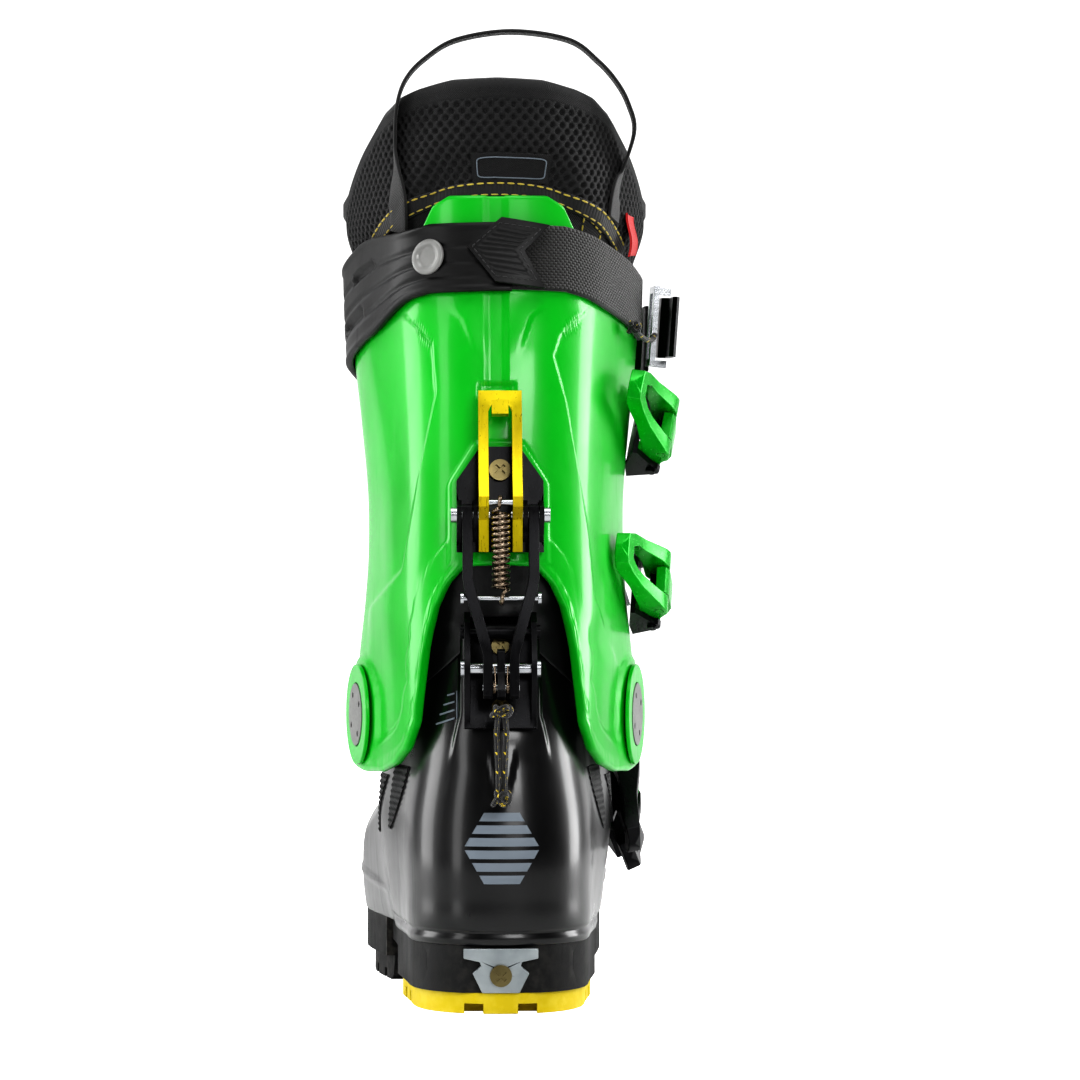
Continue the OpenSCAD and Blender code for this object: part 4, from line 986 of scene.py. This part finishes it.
def label_at(s, t, lift):
    x = label_x[0] + (label_x[1] - label_x[0]) * s
    z = label_z[0] + (label_z[1] - label_z[0]) * t - 0.03 * np.abs(x) + 1
    a = np.interp(x, *label_table)
    return on_liner(a, z, 1.2 + lift)


table_x = np.linspace(-12, 23, 8)
label_table = (table_x, np.array([liner_angle(x, 343) for x in table_x]))
patch("liner_label", label_at, 0.6, LINER, "cuff", "liner_foam", (40, 16))
turn = np.linspace(0, 2 * math.pi, 90)
square = np.stack([0.5 + 0.43 * np.sign(np.cos(turn)) * np.abs(np.cos(turn)) ** 0.25,
                   0.5 + 0.36 * np.sign(np.sin(turn)) * np.abs(np.sin(turn)) ** 0.25], -1)
border_route = label_at(square[:, 0], square[:, 1], np.full(90, 0.95))
build("liner_label_border", tube(border_route, 0.3, 6), PRINT, "cuff", "liner_foam")

# Tongue and foot of the liner
tongue_angles = np.linspace(146, 214, 18)
tongue_low = liner_bottom(tongue_angles, LINER_GAP) + 2
tongue_high = 352 - np.abs(tongue_angles - 180) * 0.3


def tongue_seams(p):
    a = np.degrees(np.arctan2(p[:, 0], 48 - p[:, 1])) % 360
    return (p[:, 2] < 262) | (np.abs(np.abs(a - 180) - 22) < 3)


tongue, tongue_outer = padded_wall("liner_tongue_foam", tongue_angles, tongue_low, tongue_high, 34,
                                   (cuff_point, cuff_point), (LINER_GAP + 1, LINER_GAP + LINER_WALL),
                                   tongue_seams, 2.0)
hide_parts("liner_tongue")
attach(tongue, "cuff")
rim_points = (tongue_outer[:, -1] + cuff_point(tongue_high, tongue_angles, LINER_GAP + LINER_WALL)) / 2
build("tongue_binding", tube(curve_through(rim_points + (0, 0, 1.6), 60), 2.6, 12, flat=1.25), LINER, "cuff",
      "liner_foam")

board_top = 36
foot_angles = np.arange(-180, 180, 4.0)
foot_top = shell_rim(foot_angles) - 6
foot_outer = columns(foot_angles, board_top + 0.3, foot_top, 40, shell_point, SHELL_WALL + 1.2)
foot_inner = columns(foot_angles, board_top + 5, foot_top, 40, shell_point, SHELL_WALL + LINER_WALL)
quilt = 0.5 * np.cos(np.linspace(0, 1, 40) * 2 * math.pi * 7)[None, :] * np.ones((len(foot_angles), 1))
foot = build("liner_foot_foam", wall(foot_outer, push(foot_inner, -quilt, True), True, 0.9), LINER, "root",
             "liner_foam", ["liner_foot"])


def sole_form(z, inset, count=60):
    return shell_point(z, np.linspace(-180, 180, count, endpoint=False), inset)


def bed(name, low, high, inset, crown, material, slot, replaces):
    """Flat insole form with a rounded rim and a dished heel."""
    rings, count = [], 60
    for z, i in ((low, inset + 1), (low + 0.6, inset), (high - 0.8, inset), (high, inset + 1.2)):
        ring = sole_form(board_top, i, count)
        ring[:, 2] = z
        rings.append(ring)
    centre = rings[-1].mean(0)
    for share in (0.85, 0.65, 0.45, 0.25, 0.08):
        ring = centre + (rings[3] - centre) * share
        ring[:, 2] = high - crown * (1 - share) * (ring[:, 1] < 60)
        rings.append(ring)
    points = np.concatenate(rings)
    faces = [(k * count + i, k * count + (i + 1) % count, (k + 1) * count + (i + 1) % count,
              (k + 1) * count + i) for k in range(len(rings) - 1) for i in range(count)]
    faces += [tuple(range(count))[::-1], tuple(range(len(points) - count, len(points)))]
    pattern = np.stack([points[:, 0], points[:, 1], points[:, 2] * 0], -1)
    return build(name, (points, faces, pattern), material, "root", slot, [replaces])


footbed = bed("footbed_fleece", board_top + 5.1, board_top + 8, SHELL_WALL + LINER_WALL + 4, 1.6, FLEECE,
              "liner_foam", "footbed")

# Webbing loop
LOOP_ROUTE = [[-41.5, 25.5, 330], [-41.6, 27, 340], [-41.8, 30, 356], [-41.8, 33.5, 370], [-38, 37, 381.5],
              [-30, 40, 390.5], [-17, 42, 398.5], [6, 44, 402.3], [30, 44, 398.8], [42.3, 44.5, 390],
              [50, 45, 381.5], [55, 46, 372.5], [57.6, 47, 361], [54.6, 44, 347], [51.2, 41.3, 336],
              [50.4, 40, 326]]
LOOP_BASES = ((-39.5, 318), (-40, 330), (-40.5, 342), (-41, 355)), ((50.5, 343), (48, 334), (47, 324))


def based(points):
    return [on_liner(liner_angle(x, z), z, np.array(1.9)) for x, z in points]


loop_points = based(LOOP_BASES[0]) + [np.array(p, float) for p in LOOP_ROUTE[3:13]] + based(LOOP_BASES[1])
loop_path = curve_through(loop_points, 130)
heading = np.gradient(loop_path, axis=0)
heading /= np.linalg.norm(heading, axis=1, keepdims=True)
on_side = np.clip((352 - loop_path[:, 2]) / 24, 0, 1)[:, None]
outside = loop_path - (0, 60, 0)
outside[:, 2] = 0
outside /= np.linalg.norm(outside, axis=1, keepdims=True)
flat_side = np.cross(heading, outside)
across = (0, 1, 0) - heading * heading[:, 1:2]
across /= np.linalg.norm(across, axis=1, keepdims=True)
flat_side *= np.sign((flat_side * across).sum(1, keepdims=True))
loop_sides = across * (1 - smooth(on_side)) + flat_side * smooth(on_side)
loop_sides /= np.linalg.norm(loop_sides, axis=1, keepdims=True)
build("pull_loop_webbing", ribbon(loop_path, loop_sides, 10.5, 1.4), LOOP, "cuff", "webbing", ["pull_loop"],
      sharp=60)

# Red side tag, folded, without lettering
tag_at = np.asarray(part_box("side_tag")[0]) / MM, np.asarray(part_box("side_tag")[1]) / MM


def tag(s, t, lift):
    p = np.stack([tag_at[0][0] + 0.4 + lift + 0.9 * np.sin(t * 5) + 3.0 * s ** 2,
                  tag_at[0][1] + (tag_at[1][1] - tag_at[0][1]) * s,
                  tag_at[0][2] + (tag_at[1][2] - tag_at[0][2]) * (t * (1 - 0.12 * s) + 0.06 * s)], -1)
    return p


patch("side_tag_woven", tag, 0.9, TAG, "cuff", "tag_red", (14, 20), replaces=["side_tag"])


# ---------- power strap ----------
rubber_angles = np.concatenate([np.linspace(-250, -100, 110), np.linspace(-99, 4, 130)])
rubber_rows = 44
middle, half = edge(STRAP_MIDDLE, rubber_angles), rubber_half(rubber_angles)
lift = flap_lift(rubber_angles)
rubber_outer = columns(rubber_angles, middle - half, middle + half, rubber_rows, cuff_point, lift - 3.2)
rubber_inner = columns(rubber_angles, middle - half, middle + half, rubber_rows, cuff_point, lift - 0.5)
a = rubber_angles[:, None]
h = half[:, None] * np.linspace(-1, 1, rubber_rows)[None, :]
fan = half[:, None] / STRAP_HALF
grooves = sum(np.exp(-((h - spot * fan) / 0.95) ** 2) for spot in (-7.5, -1.5, 5))
rubber_relief = -0.9 * grooves * ramp(6, -30, a) * (1 - ramp(-200, -230, a))
for spot, start, end in ((8, -66, -82), (-8, -77, -95)):
    past_end = np.maximum(np.abs(a - (start + end) / 2) - (start - end) / 2, 0)
    slot_shape = 1 - ramp(1.6, 2.5, np.hypot(past_end * 0.9, h - spot))
    rubber_relief = rubber_relief - 2.1 * slot_shape
rubber_relief = rubber_relief + 0.45 * ramp(2.1, 1.3, half[:, None] - np.abs(h))
rubber_shape = wall(push(rubber_outer, rubber_relief), rubber_inner)
build("power_strap_rubber_skin", rubber_shape, STRAP, "cuff", "strap_rubber", ["power_strap_rubber"])

web_angles = np.linspace(2, 93, 150)
middle = edge(STRAP_MIDDLE, web_angles)
build("power_strap_woven", wall(columns(web_angles, middle - STRAP_HALF + 0.8, middle + STRAP_HALF - 0.8, 24,
                                        cuff_point, -2.5),
                                columns(web_angles, middle - STRAP_HALF + 0.8, middle + STRAP_HALF - 0.8, 24,
                                        cuff_point, -0.5), bulge=0.9), WEB, "cuff", "webbing",
      ["power_strap_webbing"])

# Arrow-shaped pull tab: its left and right outlines, from the bottom up
TAB_LEFT = [[-1.6, 295.7], [-13, 310.3], [0.8, 322]]
TAB_RIGHT = [[18.6, 293.3], [10.5, 308.3], [20.7, 318.8]]


def tab_at(s, t, lift):
    def outline_at(corners):
        return np.stack([np.interp(t, [0, 0.5, 1], [c[k] for c in corners]) for k in (0, 1)], -1)
    p = outline_at(TAB_LEFT) * (1 - s)[..., None] + outline_at(TAB_RIGHT) * s[..., None]
    return on_back(cuff_point, p[..., 0], p[..., 1], -3.4 - lift)


def tab_relief(s, t):
    field = ramp(0.16, 0.2, s) * (1 - ramp(0.8, 0.84, s)) * ramp(0.12, 0.16, t) * (1 - ramp(0.84, 0.88, t))
    slope = t * 27 + (np.abs(t - 0.5) * 2) * s * 2.5
    return -0.25 * field + 0.55 * field * (0.5 + 0.5 * np.sin(slope * 2 * math.pi / 2.2))


patch("strap_pull_tab_moulded", tab_at, 2.2, STRAP, "cuff", "strap_rubber", (70, 90), tab_relief,
      replaces=["strap_pull_tab"], sharp=50)
corner = [(0.09, 0.08), (0.09, 0.5), (0.09, 0.92), (0.91, 0.92), (0.91, 0.5), (0.91, 0.08), (0.09, 0.08)]
line = np.concatenate([np.linspace(p, q, 20) for p, q in zip(corner[:-1], corner[1:])])
tab_seam = tab_at(line[:, 0], line[:, 1], np.full(len(line), 2.25))
build("strap_tab_stitching", stitches(tab_seam, 2.0, 0.9, 0.3), THREAD_BLACK, "cuff", "strap_rubber")


def lathe(profile, place, sides=48):
    """Round solid from (radius, height) pairs, turned about place's local Z axis."""
    points, faces = [], []
    for r, z in profile:
        for k in range(sides):
            turned = 2 * math.pi * k / sides
            points.append(place @ Vector((r * math.cos(turned), r * math.sin(turned), z)))
    for j in range(len(profile) - 1):
        for k in range(sides):
            q = (k + 1) % sides
            faces.append((j * sides + k, j * sides + q, (j + 1) * sides + q, (j + 1) * sides + k))
    faces.append(tuple(range(sides))[::-1])
    faces.append(tuple(range(len(points) - sides, len(points))))
    return [tuple(p) for p in points], faces


def facing(point, direction):
    """Matrix that puts local Z along a direction at a point, in millimetres."""
    turned = Vector(direction).to_track_quat("Z", "Y").to_matrix().to_4x4()
    return Matrix.Translation(Vector(point)) @ turned


snap = cuff_point(306, -27, -2.9)
snap_patch = np.meshgrid([304, 306, 308], [-29, -27, -25], indexing="xy")
snap_normal = outward(cuff_point(*snap_patch, -2.2))[1, 1]
SNAP_PROFILE = [(5, 0), (7.1, 0.15), (7.6, 0.7), (7.55, 1.3), (7.1, 1.85), (6.4, 2.1), (5.6, 2.1),
                (4.9, 1.75), (4.5, 1.2), (4.2, 0.95), (3.2, 0.85), (0.1, 0.8)]
snap_ring = lathe(SNAP_PROFILE, facing(snap, snap_normal), 64)
build("strap_snap_ring", snap_ring, SNAP, "cuff", "steel", ["strap_snap"], sharp=60)


# ---------- springs ----------
SPRING_LOW, SPRING_HIGH = Vector((0, -37.6, 166.6)), Vector((0, -36.2, 205))
SPRING_R = 3.05
SPRING_WIRE = 0.8


def coil_point(turn, along):
    """Point on the coil round the line between the spring's pins: turns made, share of the way up."""
    centre = SPRING_LOW.lerp(SPRING_HIGH, along)
    swing = turn * 2 * math.pi
    return centre + Vector((SPRING_R * math.cos(swing), SPRING_R * math.sin(swing), 0))


COIL_TURNS = 13.5
coil = [coil_point(COIL_TURNS * k / 330, 0.1 + 0.8 * k / 330) for k in range(331)]


def eye(pin, angles, side):
    """Open hook round a pin, seen from the side: angles from the front, turning up."""
    return [pin + Vector((side * (1 - k / len(angles)), 2.05 * math.cos(math.radians(t)),
                          2.05 * math.sin(math.radians(t)))) for k, t in enumerate(angles)]


lower_eye = eye(SPRING_LOW, range(120, 345, 15), 0.8)
upper_eye = eye(SPRING_HIGH, range(240, 15, -15), -0.8)
below = [coil_point(-0.09, 0.085), coil_point(-0.17, 0.07)]
above = [coil_point(COIL_TURNS + 0.09, 0.915), coil_point(COIL_TURNS + 0.17, 0.93)]
wire = curve_through([tuple(p) for p in lower_eye[::-1] + below[::-1] + coil[::2] + above + upper_eye], 560)
spring = build("tension_spring_coil", tube(wire, SPRING_WIRE, 10), WIRE, None, "spring_wire",
               ["tension_spring"])
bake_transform(spring)
build("spring_pin", lathe([(0.9, 0), (1.15, 0.2), (1.15, 17), (0.9, 17.2)],
                          facing((-8.6, -36.2, 205), (1, 0, 0)), 24), STEEL, "mode_lever", "steel", sharp=40)

legs = []
for mirror in (-1, 1):
    wound = []
    for k in range(60):
        t = k / 59
        turn = math.radians(90 - 360 * 2.75 * t)
        wound.append((mirror * (3.25 - 1.0 * t), -41.6 + 2.1 * math.cos(turn), 131 + 2.1 * math.sin(turn)))
    end = wound[-1]
    wound += [(end[0] + mirror * rise * 0.05, end[1] + rise * 0.2, end[2] + rise) for rise in (2, 5, 8.6)]
    legs.append(tube(curve_through(wound, 110), 0.37, 8))
build("torsion_spring_coils", merged(legs), WIRE, "latch", "spring_wire", ["torsion_spring"])


# ---------- CAD pieces that are shown ----------
def finish_nodes(material, name, bevel, *members):
    for member in members:
        part = nodes[member]
        part.data.materials.clear()
        part.data.materials.append(material)
        part.data.attributes.remove(part.data.attributes["custom_normal"])
        if not bevel:
            part.data.shade_flat()
            continue
        weld = part.modifiers.new("weld", "WELD")
        weld.merge_threshold = 0.00002
        soften = part.modifiers.new("rounded", "BEVEL")
        soften.width = bevel * MM
        soften.segments = 2
        soften.limit_method = "ANGLE"
        soften.angle_limit = math.radians(32)
        soften.use_clamp_overlap = True
        soften.harden_normals = True
        part.data.shade_smooth()


finish_nodes(BLACK_MATT, "shell_black", 0.6, "sole_shank")
finish_nodes(RUBBER, "sole_rubber", 0.5, "outsole_front", "outsole_heel")
finish_nodes(TREAD, "tread_yellow", 0.45, "heel_tread")
finish_nodes(GREEN, "cuff_green", 0.5, "pivot_washers")
finish_nodes(TECH_STEEL, "tech_insert", 0.35, "toe_insert", "heel_insert")
finish_nodes(ZINC, "screw_zinc", 0, "heel_insert_screw", "lower_bracket_screw", "cuff_bracket_screw")
finish_nodes(BOARD, "board", 0.6, "boot_board")
finish_nodes(ALLOY_BLACK, "alloy_black", 0.3, "lower_bracket", "cuff_bracket", "link_arms",
             "latch_hook", "upper_buckle_base", "lower_buckle_base", "instep_buckle_base",
             "toe_buckle_base", "bracket_roller")
finish_nodes(ALLOY_BLACK, "alloy_black", 0.45, "instep_lever", "toe_lever", "cam_lever")
finish_nodes(ALLOY_YELLOW, "alloy_yellow", 0.35, "mode_lever")
finish_nodes(LEVER_GREEN, "alloy_green", 0.5, "upper_lever", "lower_lever", "upper_bail", "lower_bail",
             "instep_bail", "toe_bail")
finish_nodes(CAP, "pivot_cap", 0.4, "pivot_caps")
finish_nodes(STEEL, "steel", 0.2, "lock_pin", "pivot_bolts", "instep_ladder", "toe_ladder", "link_pivot_pins",
             "cam_frame", "upper_ladder", "lower_ladder", "link_cross_pin")


# ---------- floor and light ----------
def floor_material():
    f = Finish("floor", Roughness=0.7, Specular_IOR_Level=0.15)
    tone = f.mix(f.spread(f.noise(2.0, 3), 0, 1, 0.3, 0.7), (0.93, 0.93, 0.93, 1), (0.9, 0.9, 0.9, 1))
    seen = f.node("LightPath", {}, out=0)
    f.set(Base_Color=tone, Emission_Color=(1, 1, 1, 1), Emission_Strength=f.math("MULTIPLY", seen, 0.93),
          Normal=f.bump(f.noise(700, 2), 0.02))
    return f.made


floor_mesh = bpy.data.meshes.new("floor")
floor_mesh.from_pydata([(-14, -14, 0), (14, -14, 0), (14, 14, 0), (-14, 14, 0)], [], [(0, 1, 2, 3)])
floor_mesh.materials.append(floor_material())
floor = bpy.data.objects.new("floor", floor_mesh)
floor.location.z = -0.0002
bpy.context.collection.objects.link(floor)


def softbox(name, place, aim, size, energy):
    light = bpy.data.lights.new(name, "AREA")
    light.shape = "RECTANGLE"
    light.size, light.size_y = size
    light.energy = energy
    made = bpy.data.objects.new(name, light)
    made.location = place
    made.rotation_euler = (Vector(aim) - Vector(place)).to_track_quat("-Z", "Y").to_euler()
    made.visible_camera = False
    bpy.context.collection.objects.link(made)


softbox("left_box", (-1.0, 0.32, 0.4), (0, 0, 0.22), (0.45, 1.4), 9)
softbox("right_box", (1.0, 0.42, 0.4), (0, 0, 0.22), (0.4, 1.4), 12)
softbox("left_front", (-1.0, -0.7, 0.5), (0, 0, 0.22), (0.3, 1.2), 4)
softbox("back_panel", (0, 1.9, 0.6), (0, 0, 0.25), (3.2, 1.8), 14)
softbox("top_box", (0, -0.3, 1.5), (0, 0, 0.2), (1.0, 1.0), 8)
softbox("front_fill", (0.5, -1.7, 0.9), (0, 0, 0.2), (0.7, 0.7), 13)

world = bpy.data.worlds.new("studio")
world.use_nodes = True
bpy.context.scene.world = world
links, wn = world.node_tree.links, world.node_tree.nodes
light_path = wn.new("ShaderNodeLightPath")
tone = wn.new("ShaderNodeMix")
tone.data_type = "RGBA"
tone.inputs[6].default_value = (0.07, 0.07, 0.072, 1)
tone.inputs[7].default_value = (0.97, 0.97, 0.97, 1)
links.new(light_path.outputs["Is Camera Ray"], tone.inputs[0])
links.new(tone.outputs[2], wn["Background"].inputs["Color"])
bpy.context.scene.view_settings.view_transform = "Standard"
bpy.context.scene.view_settings.look = "High Contrast"
